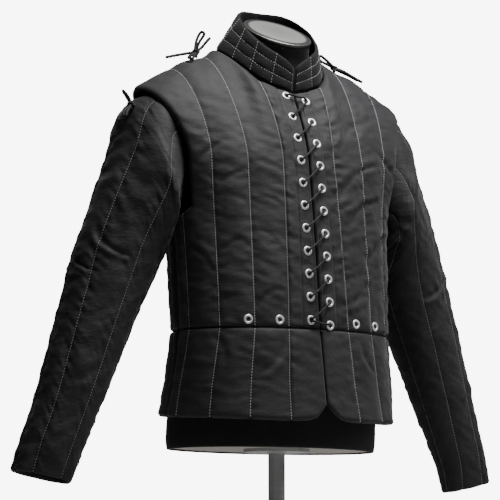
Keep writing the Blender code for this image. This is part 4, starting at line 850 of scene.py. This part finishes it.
right = [eyelet_frames["right", number] for number in range(1, 12)]
left = [eyelet_frames["left", number] for number in range(1, 12)]
runs = [(0, 0, BESIDE, 0.0)]
runs += [(k, k + 1, -BESIDE if k == 0 else 0.0, BESIDE if k == 9 else 0.0) for k in range(10)]
runs.append((10, 10, 0.0, -BESIDE))
line = [left[0] @ Vector((0.0, up, BEHIND)) for up in (0.012, 0.005)]
for count, (start, end, start_lift, end_lift) in enumerate(runs):
    raised = count < 3
    leave = lace_turn(left[start], right[end].translation, start_lift, False, raised)
    arrive = lace_turn(right[end], left[start].translation, end_lift, True, raised)
    sag = [leave[-1].lerp(arrive[0], t) + Vector((0.0, 0.0, -0.0012 * math.sin(math.pi * t)))
           for t in (0.25, 0.5, 0.75)]
    line += leave + sag + arrive
    if count < len(runs) - 1:
        next_lift = -BESIDE if end == 0 else 0.0
        first, last = (ring_at.translation + ring_at.col[1].to_3d() * lift + ring_at.col[2].to_3d() * BEHIND
                       for ring_at, lift in ((right[end], end_lift), (left[end], next_lift)))
        inset = (last - first).normalized() * 0.0025
        line += [first + inset, last - inset]
line += [right[10] @ Vector((0.0, up, BEHIND)) for up in (-0.006, -0.016)]
item = lace_curve("front_lace_braid", line, DRAWN_LACE / 2)
finished(item, "black_lace", "front_lace")

# Dress form: a hollow moulded torso covered in black jersey. Its CAD shape is welded and smoothed;
# the hard edges of the neck, the base and its recess stay sharp.
HARD_EDGE = math.radians(42)
jersey = cloth_material("black_jersey", (0.0028, 0.0028, 0.003), (0.0055, 0.0055, 0.006), 0.8, 0.05, 0.0,
                        twill=0.0)
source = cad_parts["dress_form_body"]
shape = bmesh.new()
shape.from_mesh(source.data)
bmesh.ops.remove_doubles(shape, verts=shape.verts, dist=0.0001)
crease = shape.edges.layers.float.new("crease_edge")
for edge in shape.edges:
    if len(edge.link_faces) == 2 and edge.calc_face_angle() > HARD_EDGE:
        edge[crease] = 1.0
for face in shape.faces:
    face.smooth = True
data = bpy.data.meshes.new("dress_form_jersey")
shape.to_mesh(data)
shape.free()
data.materials.append(jersey)
item = link(bpy.data.objects.new("dress_form_jersey", data))
bpy.ops.object.select_all(action="DESELECT")
item.select_set(True)
bpy.context.view_layer.objects.active = item
smooth = item.modifiers.new("round", "SUBSURF")
smooth.levels = 2
bpy.ops.object.modifier_apply(modifier="round")
finished(item, "black_jersey", "dress_form_body")

# Neck cap: a plain brushed metal disc on the slanting cut of the neck, its rim darker.
cap = new_material("brushed_aluminium_cap", {"Metallic": 0.85, "Roughness": 0.42})
tree, shader = cap.node_tree, cap.node_tree.nodes["Principled BSDF"]
at = added(tree, "ShaderNodeTexCoord").outputs["Object"]
disc = added(tree, "ShaderNodeMapping", {"Location": (0.0, -0.002, 1.097), "Scale": (0.0585, 0.062, 1.0),
                                         "Rotation": (math.radians(30.0), 0.0, 0.0)},
             {"Vector": at}, vector_type="TEXTURE")
outwards = added(tree, "ShaderNodeVectorMath", None, {0: disc.outputs[0]}, operation="LENGTH")
rim = added(tree, "ShaderNodeValToRGB", None, {"Fac": outwards.outputs["Value"]})
for number, (share, tone) in enumerate(((0.0, 0.34), (0.80, 0.42), (0.88, 0.06), (0.95, 0.10))):
    stop = rim.color_ramp.elements[number] if number < 2 else rim.color_ramp.elements.new(share)
    stop.position = share
    stop.color = (tone, tone, tone * 0.97, 1.0)
stretch = added(tree, "ShaderNodeMapping", {"Scale": (60.0, 900.0, 900.0)}, {"Vector": at})
brush = added(tree, "ShaderNodeTexNoise", {"Scale": 1.0}, {"Vector": stretch.outputs[0]})
bump = added(tree, "ShaderNodeBump", {"Strength": 0.25, "Distance": 0.0002}, {"Height": brush.outputs["Fac"]})
tree.links.new(rim.outputs["Color"], shader.inputs["Base Color"])
tree.links.new(bump.outputs[0], shader.inputs["Normal"])
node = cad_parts["neck_cap"]
node.data.materials.clear()
node.data.materials.append(cap)

# Stand: a pale plywood board let into the form's base, a satin steel pole and a round steel foot. The
# grain runs along the board, and fine drawing marks run round the steel.
for name, slot, nodes_named, colour, metallic, rough, grain in (
        ("pale_birch_board", "pale_board", ("base_board",), (0.40, 0.37, 0.33), 0.0, 0.6,
         (14.0, 160.0, 14.0)),
        ("satin_steel", "satin_steel", ("stand_pole", "stand_base_plate"), (0.50, 0.50, 0.50), 1.0, 0.38,
         (40.0, 40.0, 600.0))):
    material = new_material(name, {"Metallic": metallic})
    tree, shader = material.node_tree, material.node_tree.nodes["Principled BSDF"]
    at = added(tree, "ShaderNodeTexCoord").outputs["Object"]
    drawn = added(tree, "ShaderNodeMapping", {"Scale": grain}, {"Vector": at})
    streak = added(tree, "ShaderNodeTexNoise", {"Scale": 1.0, "Detail": 4.0}, {"Vector": drawn.outputs[0]})
    ramp = added(tree, "ShaderNodeValToRGB", None, {"Fac": streak.outputs["Fac"]})
    ramp.color_ramp.elements[0].color = (*[value * 0.8 for value in colour], 1.0)
    ramp.color_ramp.elements[1].color = (*[value * 1.15 for value in colour], 1.0)
    gloss = added(tree, "ShaderNodeMapRange", {"To Min": rough - 0.08, "To Max": rough + 0.10},
                  {"Value": streak.outputs["Fac"]})
    tree.links.new(ramp.outputs["Color"], shader.inputs["Base Color"])
    tree.links.new(gloss.outputs[0], shader.inputs["Roughness"])
    for node in (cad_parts[node_name] for node_name in nodes_named):
        node.data.materials.clear()
        node.data.materials.append(material)
